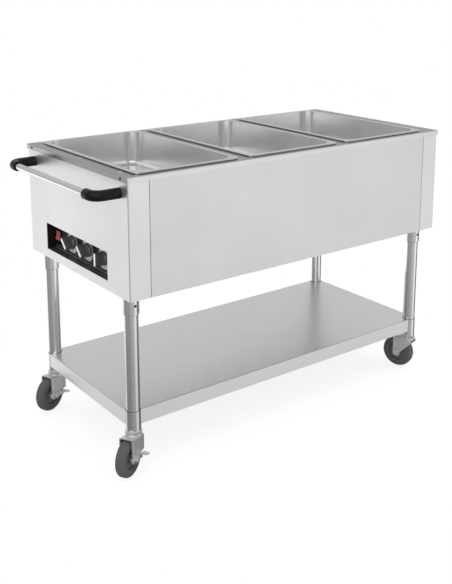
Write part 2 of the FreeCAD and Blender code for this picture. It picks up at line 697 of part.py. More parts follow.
def switch_frame():
    """Snap-in switch body with a bezel and a pocket for the rocker."""
    half_y = SWITCH_WIDTH / 2
    half_z = SWITCH_HEIGHT / 2
    wall_y = half_y + SWITCH_WALL
    wall_z = half_z + SWITCH_WALL
    bez_y = wall_y + SWITCH_BEZEL
    bez_z = wall_z + SWITCH_BEZEL
    x = RECESS_BACK
    y, z = SWITCH_Y, RECESS_Z
    frame = box(x - SWITCH_BEZEL, x, y - bez_y, y + bez_y, z - bez_z, z + bez_z)
    front_edges = edges_at(frame, lambda p: abs(p.x - x + SWITCH_BEZEL) < 0.01)
    frame = frame.makeFillet(SWITCH_BEZEL_ROUND, front_edges)
    frame = frame.fuse(
        box(x, x + SWITCH_BODY_DEPTH, y - wall_y, y + wall_y, z - wall_z, z + wall_z)
    )
    frame = frame.cut(
        box(x - SWITCH_BEZEL, x + SWITCH_POCKET, y - half_y, y + half_y, z - half_z, z + half_z)
    )
    pin = SWITCH_WIDTH / 2 + SWITCH_WALL
    a = Vector(x + ROCKER_PIVOT_DEPTH, y - pin, z)
    b = Vector(x + ROCKER_PIVOT_DEPTH, y + pin, z)
    return frame.cut(rod(ROCKER_PIN_RADIUS + RUNNING_FIT, a, b)).removeSplitter()


def rocker():
    """Rocker key on its pivot pins, tipped to the off side."""
    half_y = SWITCH_WIDTH / 2 - ROCKER_GAP
    half_z = SWITCH_HEIGHT / 2 - 2.2 * ROCKER_GAP
    pivot = Vector(RECESS_BACK + ROCKER_PIVOT_DEPTH, SWITCH_Y, RECESS_Z)
    front = SWITCH_BEZEL + ROCKER_PIVOT_DEPTH
    dip = half_z * math.sin(math.radians(ROCKER_TILT))
    root = SWITCH_POCKET - ROCKER_PIVOT_DEPTH - dip - ROCKER_FLOOR_GAP
    outline = [
        (-front - ROCKER_PROUD, half_z),
        (ROCKER_DISH - front - ROCKER_PROUD, 0),
        (-front - ROCKER_PROUD, -half_z),
        (ROCKER_HEEL, -half_z),
        (root, -half_z * 0.55),
        (root, half_z * 0.55),
        (ROCKER_HEEL, half_z),
    ]
    points = [pivot + Vector(dx, -half_y, dz) for dx, dz in outline]
    key = Part.Face(Part.makePolygon(points + points[:1])).extrude(Vector(0, 2 * half_y, 0))
    front_edges = edges_at(key, lambda p: p.x < pivot.x - front - 2.0)
    key = key.makeFillet(ROCKER_EDGE, front_edges)
    pin = SWITCH_WIDTH / 2 + SWITCH_WALL - ROCKER_PIN_SHORT
    key = key.fuse(rod(ROCKER_PIN_RADIUS, pivot - Vector(0, pin, 0), pivot + Vector(0, pin, 0)))
    key = key.removeSplitter()
    key.rotate(pivot, Vector(0, 1, 0), ROCKER_TILT)
    return key


def handle_elbow(sign):
    """Moulded elbow that carries one end of the handle tube."""
    y = sign * HANDLE_Y
    foot = Vector(END_X, y, HANDLE_Z)
    bend_start = foot + OUT * (HANDLE_REACH - ELBOW_BEND)
    axis_x = END_X - HANDLE_REACH
    bend_end = Vector(axis_x, y - sign * ELBOW_BEND, HANDLE_Z)
    mouth = bend_end - Vector(0, sign * ELBOW_STRAIGHT, 0)
    k = ELBOW_BEND * (1 - math.sqrt(0.5))
    crown = Vector(axis_x + k, y - sign * k, HANDLE_Z)
    path = Part.Wire(
        [
            Part.makeLine(foot, bend_start),
            Part.Arc(bend_start, crown, bend_end).toShape(),
            Part.makeLine(bend_end, mouth),
        ]
    )
    ring = Part.Wire(Part.makeCircle(ELBOW_RADIUS, foot, OUT))
    elbow = path.makePipeShell([ring], True, False)
    elbow = elbow.makeFillet(ELBOW_EDGE, edges_at(elbow, lambda p: abs(p.y - mouth.y) < 0.01))
    inward = Vector(0, sign * ELBOW_SOCKET, 0)
    elbow = elbow.cut(rod(HANDLE_BAR_RADIUS + RUNNING_FIT, mouth, mouth + inward))
    return elbow.cut(
        rod(HANDLE_BOLT_RADIUS + RUNNING_FIT, foot, foot + OUT * (HANDLE_BOLT_REACH + 1))
    )


def handle_bar():
    """Bright tube between the two elbows."""
    half = HANDLE_Y - ELBOW_BEND - ELBOW_STRAIGHT + ELBOW_SOCKET
    a = Vector(END_X - HANDLE_REACH, -half, HANDLE_Z)
    b = Vector(END_X - HANDLE_REACH, half, HANDLE_Z)
    return tube(HANDLE_BAR_RADIUS, HANDLE_BAR_RADIUS - HANDLE_BAR_WALL, a, b)


def handle_bolts():
    """Bolts from inside the end panel into the elbows."""
    bolts = []
    for y in (-HANDLE_Y, HANDLE_Y):
        seat = Vector(END_X + SHEET, y, HANDLE_Z)
        head = hexagon(3.2 * HANDLE_BOLT_RADIUS, seat, -OUT * 1.3 * HANDLE_BOLT_RADIUS)
        shank = rod(HANDLE_BOLT_RADIUS, seat, seat + OUT * (SHEET + HANDLE_BOLT_REACH))
        bolts.append(head.fuse(shank).removeSplitter())
    return bolts


def leg(place):
    """Leg tube from the caster up into its socket."""
    return tube(LEG_RADIUS, LEG_RADIUS - LEG_WALL, place + UP * LEG_BOTTOM, place + UP * TRAY_TOP)


def leg_socket(place):
    """Ferrule for a leg with a plate that spreads its load on the base tray."""
    bottom = BODY_BOTTOM - SOCKET_LENGTH
    body = rod(SOCKET_RADIUS, place + UP * bottom, place + UP * TRAY_TOP)
    body = body.makeFillet(SOCKET_EDGE, edges_at(body, lambda p: abs(p.z - bottom) < 0.01))
    sx = 1 if place.x > BODY_X else -1
    sy = 1 if place.y > 0 else -1
    edge_x = BODY_X + sx * (BODY_LENGTH / 2 - 2 * SHEET - SOCKET_PLATE_MARGIN)
    edge_y = sy * (SIDE_Y - 2 * SHEET - SOCKET_PLATE_MARGIN)
    x0, x1 = sorted((edge_x, place.x - sx * SOCKET_PLATE_INBOARD))
    y0, y1 = sorted((edge_y, place.y - sy * SOCKET_PLATE_INBOARD))
    body = body.fuse(box(x0, x1, y0, y1, TRAY_TOP, TRAY_TOP + SOCKET_PLATE))
    bore = rod(LEG_RADIUS + TUBE_FIT, place + UP * bottom, place + UP * TRAY_TOP)
    body = body.cut(bore)
    start, end = grub_line(place)
    return body.cut(rod(GRUB_RADIUS + RUNNING_FIT, start, end)).removeSplitter()


def grub_line(place):
    """Axis of a socket's grub screw, from the leg outward to the long side it faces."""
    sy = 1 if place.y > 0 else -1
    level = place + UP * (BODY_BOTTOM - SOCKET_LENGTH / 2)
    start = level + Vector(0, sy * (LEG_RADIUS + RUNNING_FIT), 0)
    end = level + Vector(0, sy * (SOCKET_RADIUS + GRUB_PROUD), 0)
    return start, end


def grub_screw(place):
    """Socket grub screw that locks a leg in its ferrule."""
    start, end = grub_line(place)
    key = hexagon(GRUB_RADIUS, end, (start - end) * 0.6)
    return rod(GRUB_RADIUS, start, end).cut(key)


def undershelf():
    """Folded shelf with a return along its lower edge, notched round the corner collars."""
    x0 = END_X + SHELF_INSET_END
    x1 = FAR_X - SHELF_INSET_END
    y = SIDE_Y - SHELF_INSET_SIDE
    t = SHEET
    r = SHELF_RETURN
    shelf = box(x0, x1, -y, y, SHELF_BOTTOM, SHELF_TOP)
    corners = edges_at(shelf, lambda p: abs(p.z - SHELF_BOTTOM - SHELF_EDGE / 2) < 0.01)
    shelf = shelf.makeFillet(BEND_RADIUS, corners)
    rim = edges_at(shelf, lambda p: abs(p.z - SHELF_TOP) < 0.01)
    shelf = shelf.makeFillet(SHELF_RIM_ROUND, rim)
    shelf = shelf.cut(box(x0 + t, x1 - t, -y + t, y - t, SHELF_BOTTOM + t, SHELF_TOP - t))
    shelf = shelf.cut(box(x0 + r, x1 - r, -y + r, y - r, SHELF_BOTTOM, SHELF_BOTTOM + t))
    for place in LEG_PLACES.values():
        notch = COLLAR_RADIUS + SHELF_NOTCH_GAP
        shelf = shelf.cut(rod(notch, place + UP * (SHELF_BOTTOM - 1), place + UP * (SHELF_TOP + 1)))
    return largest(shelf).removeSplitter()


def largest(shape):
    """Biggest solid of a shape that a notch has cut into several."""
    return max(shape.Solids, key=lambda solid: solid.Volume)


def shelf_collar(place):
    """Corner collar on a leg, with a plate under the shelf sheet."""
    body = rod(COLLAR_RADIUS, place + UP * LEG_BOTTOM, place + UP * SHELF_TOP)
    body = body.makeFillet(COLLAR_EDGE, edges_at(body, lambda p: abs(p.z - SHELF_TOP) < 0.01))
    sx = 1 if place.x > BODY_X else -1
    sy = 1 if place.y > 0 else -1
    x0, x1 = sorted((place.x, place.x - sx * COLLAR_PLATE_REACH))
    y0, y1 = sorted((place.y, place.y - sy * COLLAR_PLATE_REACH))
    ceiling = SHELF_TOP - SHEET
    body = body.fuse(box(x0, x1, y0, y1, ceiling - COLLAR_PLATE, ceiling))
    bore = rod(LEG_RADIUS + TUBE_FIT, place + UP * LEG_BOTTOM, place + UP * SHELF_TOP)
    return body.cut(bore).removeSplitter()


def caster_stem(place):
    """Plug in the leg tube with the upper race, the kingpin and its head in one piece."""
    plug = LEG_RADIUS - LEG_WALL - RUNNING_FIT
    low = RACE_TOP + RACE_GAP
    groove = low + RACE_UPPER / 2
    head_top = FORK_UNDER - FORK_SLOPE * KINGPIN_HEAD_RADIUS - HOLE_CLEARANCE
    profile = [
        (0, head_top - KINGPIN_HEAD),
        (KINGPIN_HEAD_RADIUS, head_top - KINGPIN_HEAD),
        (KINGPIN_HEAD_RADIUS, head_top),
        (KINGPIN_RADIUS, head_top),
        (KINGPIN_RADIUS, low),
        (RACE_RADIUS - RACE_GROOVE, low),
        (RACE_RADIUS, low + RACE_GROOVE),
        (RACE_NECK, groove),
        (RACE_NECK, LEG_BOTTOM),
        (plug, LEG_BOTTOM),
        (plug, LEG_BOTTOM + STEM_LENGTH),
        (0, LEG_BOTTOM + STEM_LENGTH),
    ]
    return spin(profile, place, UP)


def fork_profile(drop):
    """Side outline of a fork: sloped crown, upright leg and a back edge that runs in to the leg."""
    front = -CASTER_TRAIL - FORK_FRONT
    top = FORK_UNDER + FORK_SHEET
    heel = front + FORK_LEG
    toe = WHEEL_RADIUS - FORK_TOE
    front_top = Vector(front, 0, top - FORK_SLOPE * front)
    back_top = Vector(FORK_BACK, 0, top - FORK_SLOPE * FORK_BACK)
    back_low = back_top - UP * (FORK_SHEET + drop)
    knee = Vector(heel, 0, WHEEL_RADIUS)
    corners = [front_top, back_top, back_low, knee, Vector(heel, 0, toe), Vector(front, 0, toe)]
    return Part.makePolygon(corners + corners[:1])


def caster_fork(drop):
    """Stamped fork with its lower race, at the floor point of its own swivel axis."""
    half = FORK_HALF + FORK_SHEET
    outline = fork_profile(drop)
    outline.translate(Vector(0, -half, 0))
    fork = Part.Face(outline).extrude(Vector(0, 2 * half, 0))
    middle = FORK_BACK - CASTER_TRAIL - FORK_FRONT
    crest = edges_at(
        fork,
        lambda p: abs(abs(p.y) - half) < 0.01 and abs(p.x - middle / 2) < 0.01 and p.z > WHEEL_RADIUS * 1.6,
    )
    fork = fork.makeFillet(FORK_BEND, crest)
    toe = WHEEL_RADIUS - FORK_TOE
    toes = edges_at(fork, lambda p: abs(p.z - toe) < 0.01 and abs(p.y) < 0.01)
    fork = fork.makeFillet(FORK_TOE_ROUND, toes)
    far = 2 * (CASTER_TRAIL + FORK_BACK + FORK_FRONT)
    rise = FORK_SLOPE * far
    hollow = [
        Vector(-far, -FORK_HALF, FORK_UNDER + rise),
        Vector(far, -FORK_HALF, FORK_UNDER - rise),
        Vector(far, -FORK_HALF, -WHEEL_RADIUS),
        Vector(-far, -FORK_HALF, -WHEEL_RADIUS),
    ]
    space = Part.Face(Part.makePolygon(hollow + hollow[:1])).extrude(Vector(0, 2 * FORK_HALF, 0))
    fork = fork.cut(space)
    seat = FORK_UNDER + FORK_SHEET / 2 - FORK_SLOPE * RACE_RADIUS
    race = rod(RACE_RADIUS - RACE_GROOVE, UP * seat, UP * RACE_TOP)
    ring_low = RACE_BOTTOM + RACE_LEDGE
    ring_high = RACE_TOP - RACE_GAP
    ring = rod(RACE_RADIUS, UP * ring_low, UP * ring_high)
    rims = edges_at(ring, lambda p: min(abs(p.z - ring_low), abs(p.z - ring_high)) < 0.01)
    ring = ring.makeFillet(RACE_ROLL, rims)
    race = race.fuse(ring)
    fork = fork.fuse(race.cut(space))
    fork = fork.cut(rod(KINGPIN_RADIUS + RUNNING_FIT, Vector(0, 0, WHEEL_RADIUS), UP * (RACE_TOP + 1)))
    a = Vector(-CASTER_TRAIL, -half, WHEEL_RADIUS)
    b = Vector(-CASTER_TRAIL, half, WHEEL_RADIUS)
    return fork.cut(rod(AXLE_RADIUS + RUNNING_FIT, a, b)).removeSplitter()


def caster_axle(braked):
    """Axle bolt and its nut, with room for the lever where there is a brake."""
    half = FORK_HALF + FORK_SHEET
    packing = LEVER_SHEET + 2 * LEVER_GAP if braked else 0.0
    nut_face = -half - packing
    x = -CASTER_TRAIL
    z = WHEEL_RADIUS
    tail = nut_face - AXLE_HEAD - AXLE_TAIL
    bolt = rod(AXLE_RADIUS, Vector(x, tail, z), Vector(x, half, z))
    bolt = bolt.fuse(hexagon(AXLE_HEAD_FLATS, Vector(x, half, z), Vector(0, AXLE_HEAD, 0)))
    nut = hexagon(AXLE_HEAD_FLATS, Vector(x, nut_face, z), Vector(0, -AXLE_HEAD, 0))
    nut = nut.cut(rod(AXLE_RADIUS + RUNNING_FIT, Vector(x, tail, z), Vector(x, half, z)))
    return [bolt.removeSplitter(), nut]


def wheel_core():
    """Wheel centre: hub, web and rim turned in one piece."""
    bore = AXLE_RADIUS + RUNNING_FIT
    rim = TYRE_INNER_RADIUS - RUNNING_FIT
    half = CORE_WIDTH / 2
    web = CORE_WEB / 2
    edge = CORE_RIM_WIDTH / 2
    side = [
        (bore, half),
        (CORE_HUB_RADIUS - CORE_HUB_TAPER, half),
        (CORE_HUB_RADIUS, web + CORE_WEB_RISE),
        (rim - CORE_RIM - CORE_RIM_TAPER, web),
        (rim - CORE_RIM, edge),
        (rim, edge),
    ]
    profile = side + [(r, -h) for r, h in reversed(side)]
    return spin(profile, Vector(-CASTER_TRAIL, 0, WHEEL_RADIUS), Vector(0, 1, 0))


def tyre():
    """Rubber tyre with rounded shoulders."""
    a = Vector(-CASTER_TRAIL, -TYRE_WIDTH / 2, WHEEL_RADIUS)
    b = Vector(-CASTER_TRAIL, TYRE_WIDTH / 2, WHEEL_RADIUS)
    ring = rod(WHEEL_RADIUS, a, b)
    ring = ring.makeFillet(TYRE_SHOULDER, edges_at(ring, lambda p: abs(abs(p.y) - TYRE_WIDTH / 2) < 0.01))
    return ring.cut(rod(TYRE_INNER_RADIUS, a, b))


def brake_lever():
    """Stamped lever on the axle, with a foot tab at one end and a release tab at the other."""
    inner = -(FORK_HALF + FORK_SHEET + LEVER_GAP)
    outer = inner - LEVER_SHEET
    axle = Vector(-CASTER_TRAIL, 0, WHEEL_RADIUS)
    half = LEVER_WIDTH / 2
    high = axle.z + half
    start = axle.x - LEVER_TAIL
    end = axle.x + LEVER_REACH
    lever = rod(LEVER_HUB, axle + BACK * outer, axle + BACK * inner)
    lever = lever.fuse(box(start, end, outer, inner, axle.z - half, high))
    for x0, x1, wide in (
        (end - LEVER_TAB / 2, end + LEVER_TAB / 2, LEVER_TAB_WIDTH),
        (start - LEVER_TAIL_TAB / 2, start + LEVER_TAIL_TAB / 2, LEVER_TAIL_WIDTH),
    ):
        tab = box(x0, x1, inner - wide, inner, high - LEVER_SHEET, high)
        free = edges_at(tab, lambda p: abs(p.z - high + LEVER_SHEET / 2) < 0.01 and p.y < outer)
        lever = lever.fuse(tab.makeFillet(LEVER_TAB_ROUND, free))
    lever = lever.cut(rod(AXLE_RADIUS + RUNNING_FIT, axle + BACK * outer, axle + BACK * inner))
    lever = lever.removeSplitter()
    lever.rotate(axle, BACK, LEVER_DIP)
    return lever


def at_caster(shape, corner):
    """Copy of a caster piece turned to its heading and set under its leg."""
    piece = shape.copy()
    piece.rotate(Vector(0, 0, 0), UP, CASTER_HEADINGS[corner])
    piece.translate(LEG_PLACES[corner])
    return piece


def deck_rivets():
    """Rivets that hold the deck to the flanges of the end panels."""
    rivets = []
    for sign in (-1, 1):
        for spot in rivet_spots(sign):
            head = rod(RIVET_HEAD_RADIUS, spot, spot + UP * RIVET_HEAD)
            head = head.makeFillet(RIVET_HEAD * 0.8, edges_at(head, lambda p: p.z > spot.z + 0.1))
            under = spot - UP * 2 * SHEET
            shank = rod(RIVET_RADIUS, under, spot)
            tail = rod(RIVET_HEAD_RADIUS * 0.75, under - UP * RIVET_HEAD, under)
            rivets.append(head.fuse([shank, tail]).removeSplitter())
    return rivets


def lip_screws():
    """Screws through the end lips into the end panels."""
    screws = []
    for sign in (-1, 1):
        out = Vector(sign, 0, 0)
        for spot in lip_screw_spots(sign):
            tip = spot + out * LIP_SCREW_HEAD
            head = rod(LIP_SCREW_HEAD_RADIUS, spot, tip)
            head = head.makeFillet(LIP_SCREW_HEAD * 0.6, edges_at(head, lambda p: abs(p.x - tip.x) < 0.01))
            for a, b in ((0.6, 2.2), (2.2, 0.6)):
                slot = box(tip.x - 1, tip.x + 1, spot.y - b, spot.y + b, spot.z - a, spot.z + a)
                head = head.cut(slot)
            shank = rod(LIP_SCREW_RADIUS, spot - out * LIP_SCREW_GRIP, spot)
            screws.append(head.fuse(shank).removeSplitter())
    return screws


def cable_gland():
    """Low gland in the rear panel and its lock nut inside the body."""
    spot = gland_spot()
    face = spot + BACK * GLAND_FLANGE
    seat = spot - BACK * SHEET
    tail = seat - BACK * (GLAND_NUT + GLAND_TAIL)
    flange = rod(GLAND_FLANGE_RADIUS, spot, face)
    flange = flange.makeFillet(GLAND_FLANGE_ROUND, edges_at(flange, lambda p: abs(p.y - face.y) < 0.01))
    body = flange.fuse(rod(GLAND_RADIUS, tail, spot)).removeSplitter()
    body = body.cut(rod(GLAND_BORE, tail, face))
    nut = hexagon(GLAND_FLATS, seat, -BACK * GLAND_NUT)
    return [body, nut.cut(rod(GLAND_RADIUS + RUNNING_FIT, tail, seat))]


def terminal_block():
    """Mains terminal block on the base tray."""
    wide, long, tall = TERMINAL_SIZE
    x0 = gland_spot().x + TERMINAL_FROM_GLAND
    y0 = SIDE_Y - TERMINAL_FROM_REAR - long / 2
    top = TRAY_TOP + tall
    block = box(x0, x0 + wide, y0, y0 + long, TRAY_TOP, top)
    block = block.makeFillet(TERMINAL_EDGE, edges_at(block, lambda p: abs(p.z - top) < 0.01))
    step = long / TERMINAL_WAYS
    for i in range(TERMINAL_WAYS):
        for share in (0.27, 0.73):
            mouth = Vector(x0 + share * wide, y0 + (i + 0.5) * step, top)
            block = block.cut(rod(TERMINAL_SCREW_RADIUS, mouth - UP * tall / 2, mouth))
    return block


def body_nodes():
    """Pieces of the heated body."""
    nodes = {
        "front_panel": [long_panel(-1)],
        "rear_panel": [long_panel(1)],
        "control_end_panel": [end_panel(-1)],
        "plain_end_panel": [end_panel(1)],
        "top_deck": [top_deck()],
        "base_tray": [base_tray()],
        "heating_elements": [heating_element(x) for x in PAN_X],
        "element_clamps": [clamp for x in PAN_X for clamp in element_clamps(x)],
        "deck_rivets": deck_rivets(),
        "lip_screws": lip_screws(),
        "cable_gland": cable_gland(),
        "terminal_block": [terminal_block()],
    }
    for name, x in zip(PAN_NAMES, PAN_X):
        nodes["well_" + name] = [well(x)]
        nodes["pan_" + name] = [pan(x)]
    return nodes


def control_nodes():
    """Pieces of the control recess."""
    nodes = {
        "control_housing": [control_housing()],
        "dial_plates": [dial_plate(y) for y in KNOB_Y],
        "thermostats": [thermostat(y) for y in KNOB_Y],
        "switch_frame": [switch_frame()],
        "switch_rocker": [rocker()],
    }
    for name, y, turn in zip(PAN_NAMES, KNOB_Y, KNOB_TURNS):
        knob, strip = knob_pair(y, turn)
        nodes["knob_" + name] = [knob]
        nodes["knob_pointer_" + name] = [strip]
    return nodes


def cart_nodes():
    """Handle, legs and undershelf."""
    places = LEG_PLACES.values()
    nodes = {
        "handle_bar": [handle_bar()],
        "handle_elbow_front": [handle_elbow(-1)],
        "handle_elbow_rear": [handle_elbow(1)],
        "handle_bolts": handle_bolts(),
        "leg_sockets": [leg_socket(place) for place in places],
        "grub_screws": [grub_screw(place) for place in places],
        "undershelf": [undershelf()],
        "shelf_collars": [shelf_collar(place) for place in places],
        "caster_stems": [caster_stem(place) for place in places],
    }
    for corner, place in LEG_PLACES.items():
        nodes["leg_" + corner] = [leg(place)]
    return nodes


def caster_nodes():
    """Swivelling and rolling pieces of the four casters."""
    core = wheel_core()
    rubber = tyre()
    lever = brake_lever()
    nodes = {}
    for corner in LEG_PLACES:
        braked = corner in BRAKED_CASTERS
        drop = FORK_BRAKE_DROP if braked else FORK_BACK_DROP
        nodes["fork_" + corner] = [at_caster(caster_fork(drop), corner)]
        nodes["axle_" + corner] = [at_caster(piece, corner) for piece in caster_axle(braked)]
        nodes["wheel_core_" + corner] = [at_caster(core, corner)]
        nodes["tyre_" + corner] = [at_caster(rubber, corner)]
        if braked:
            nodes["brake_lever_" + corner] = [at_caster(lever, corner)]
    return nodes


def write_nodes(nodes):
    """Write one STEP file for each node."""
    os.makedirs("parts", exist_ok=True)
    for name, solids in nodes.items():
        shape = solids[0] if len(solids) == 1 else Part.makeCompound(solids)
        shape.exportStep(os.path.join("parts", name + ".step"))


for group in (body_nodes(), control_nodes(), cart_nodes(), caster_nodes()):
    write_nodes(group)
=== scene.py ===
"""Looks of a mobile three-pan bain marie: finishes, fine detail, studio and camera round the solids.

Everything is in metres in the part's own frame: +Z up, floor at Z = 0, the control end faces -X.
"""

from __future__ import annotations

import json
import logging
import math
from dataclasses import dataclass
from enum import Enum, IntEnum
from typing import Iterable, Sequence

import bmesh
import bpy
from mathutils import Matrix, Vector


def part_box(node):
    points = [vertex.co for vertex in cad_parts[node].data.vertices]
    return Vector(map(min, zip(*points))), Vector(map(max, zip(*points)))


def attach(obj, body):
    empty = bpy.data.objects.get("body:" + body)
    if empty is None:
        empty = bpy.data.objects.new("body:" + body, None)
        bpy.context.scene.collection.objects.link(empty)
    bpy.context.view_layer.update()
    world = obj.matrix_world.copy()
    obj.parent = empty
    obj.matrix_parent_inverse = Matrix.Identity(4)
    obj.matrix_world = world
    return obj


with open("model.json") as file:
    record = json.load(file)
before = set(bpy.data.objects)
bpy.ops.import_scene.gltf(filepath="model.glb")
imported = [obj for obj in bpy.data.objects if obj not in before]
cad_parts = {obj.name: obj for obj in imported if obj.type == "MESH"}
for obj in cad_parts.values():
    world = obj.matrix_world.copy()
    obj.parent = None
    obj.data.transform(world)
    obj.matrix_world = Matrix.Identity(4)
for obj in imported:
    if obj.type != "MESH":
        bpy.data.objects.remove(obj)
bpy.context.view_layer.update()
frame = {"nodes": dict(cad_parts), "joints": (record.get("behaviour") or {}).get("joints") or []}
LOG = logging.getLogger("bain_marie")

Tree = bpy.types.NodeTree
Node = bpy.types.Node
Socket = bpy.types.NodeSocket
Mesh = bmesh.types.BMesh
Colour = tuple[float, float, float]
Pair = tuple[float, float]
Place = tuple[float, float, float]

UP = Vector((0.0, 0.0, 1.0))
WHITE = (1.0, 1.0, 1.0, 1.0)
DRAWN = 0.004


class Axis(IntEnum):
    """The axes of the part's frame."""

    X = 0
    Y = 1
    Z = 2


class Brush(Enum):
    """The way a metal surface was brushed or drawn, as the scale of its grain along each axis."""

    ALONG_X = (DRAWN, 1.0, 1.0)
    ALONG_Y = (1.0, DRAWN, 1.0)
    ALONG_Z = (1.0, 1.0, DRAWN)
    NONE = (1.0, 1.0, 1.0)


def joint(name: str) -> dict:
    """The frame's entry of a joint."""
    return next(entry for entry in frame["joints"] if entry["name"] == name)


def grey(level: float) -> Colour:
    """A neutral colour of one level."""
    return (level, level, level)


class Corner(Enum):
    """The four legs, by the name their nodes use."""

    FRONT_LEFT = "front_left"
    REAR_LEFT = "rear_left"
    FRONT_RIGHT = "front_right"
    REAR_RIGHT = "rear_right"

    @property
    def wheel(self) -> Matrix:
        """Frame at the middle of the wheel, with Z along the axle and X level."""
        roll = joint(f"wheel_{self.value}_roll")
        axle = Vector(roll["axis"]).normalized()
        level = axle.cross(UP)
        turn = Matrix((level, axle.cross(level), axle)).transposed()
        return Matrix.Translation(roll["pos_m"]) @ turn.to_4x4()


class Side(Enum):
    """The three wells, each with its pan and knob, by the name their nodes use."""

    LEFT = "left"
    MIDDLE = "middle"
    RIGHT = "right"

    @property
    def knob(self) -> Vector:
        """Place of the knob's axis on its dial."""
        return Vector(joint(f"knob_{self.value}_turn")["pos_m"])


class Graph:
    """A small helper that adds and links shader nodes in one tree."""

    COLUMNS = 8
    SPACING = (220.0, -260.0)

    def __init__(self, tree: Tree) -> None:
        """Starts on the node tree of a material, world or node group."""
        self.tree = tree
        self.count = 0

    @staticmethod
    def cleared(owner: bpy.types.Material | bpy.types.World) -> Tree:
        """Clears the nodes of a material or world.

        Args:
            owner: The material or world.

        Returns:
            Its empty tree.
        """
        owner.use_nodes = True
        owner.node_tree.nodes.clear()
        return owner.node_tree

    def node(self, kind: str, **values: object) -> Node:
        """Adds a node and sets its properties and inputs.

        Args:
            kind: The node's type name without the ShaderNode prefix.
            **values: Properties of the node, or inputs by name with spaces as underscores.

        Returns:
            The new node.
        """
        made = self.tree.nodes.new("ShaderNode" + kind)
        row, column = divmod(self.count, self.COLUMNS)
        made.location = (self.SPACING[0] * column, self.SPACING[1] * row)
        self.count += 1
        for key, value in values.items():
            if hasattr(made, key):
                setattr(made, key, value)
            else:
                made.inputs[key.replace("_", " ")].default_value = value
        return made

    def link(self, source: Socket, target: Socket) -> None:
        """Joins an output socket to an input socket."""
        self.tree.links.new(source, target)

    def texture(self, kind: str, where: Socket, scale: Socket, **values: object) -> Node:
        """Adds a texture that reads its coordinates and its scale from sockets.

        Args:
            kind: The texture's type name without the ShaderNode prefix.
            where: The coordinates.
            scale: The scale.
            **values: Its other properties and inputs.

        Returns:
            The texture node.
        """
        made = self.node(kind, **values)
        self.link(where, made.inputs["Vector"])
        self.link(scale, made.inputs["Scale"])
        return made

    def math(self, operation: str, *values: object) -> Socket:
        """Adds a Math node.

        Args:
            operation: The Math node's operation.
            *values: A socket or a number for each of its inputs in turn.

        Returns:
            The node's output socket.
        """
        made = self.node("Math", operation=operation)
        for socket, value in zip(made.inputs, values):
            if isinstance(value, Socket):
                self.link(value, socket)
            else:
                socket.default_value = float(value)
        return made.outputs[0]

    def spread(self, value: Socket, result: Pair, over: Pair = (0.0, 1.0), soft: bool = False) -> Socket:
        """Maps a value from one range to another.

        Args:
            value: The socket to map.
            result: The result at the start and at the end.
            over: The values where the change starts and ends.
            soft: Whether the change eases in and out.

        Returns:
            The mapped output socket.
        """
        made = self.node("MapRange", From_Min=over[0], From_Max=over[1], To_Min=result[0], To_Max=result[1])
        made.interpolation_type = "SMOOTHSTEP" if soft else "LINEAR"
        self.link(value, made.inputs["Value"])
        return made.outputs["Result"]

    def along(self, value: Socket, direction: Sequence[float]) -> Socket:
        """How far a vector points along a direction.

        Args:
            value: The vector socket.
            direction: The direction, of any length.

        Returns:
            The dot product's socket.
        """
        made = self.node("VectorMath", operation="DOT_PRODUCT")
        made.inputs[1].default_value = Vector(direction).normalized()
        self.link(value, made.inputs[0])
        return made.outputs["Value"]

    def blend(self, factor: Socket, dark: Sequence[float], light: Sequence[float]) -> Socket:
        """Mixes two colours by a factor.

        Args:
            factor: The socket that goes from 0 to 1.
            dark: The colour at 0.
            light: The colour at 1.

        Returns:
            The colour output socket.
        """
        made = self.node("ValToRGB")
        made.color_ramp.elements[0].color = (*dark, 1.0)
        made.color_ramp.elements[1].color = (*light, 1.0)
        self.link(factor, made.inputs["Fac"])
        return made.outputs["Color"]


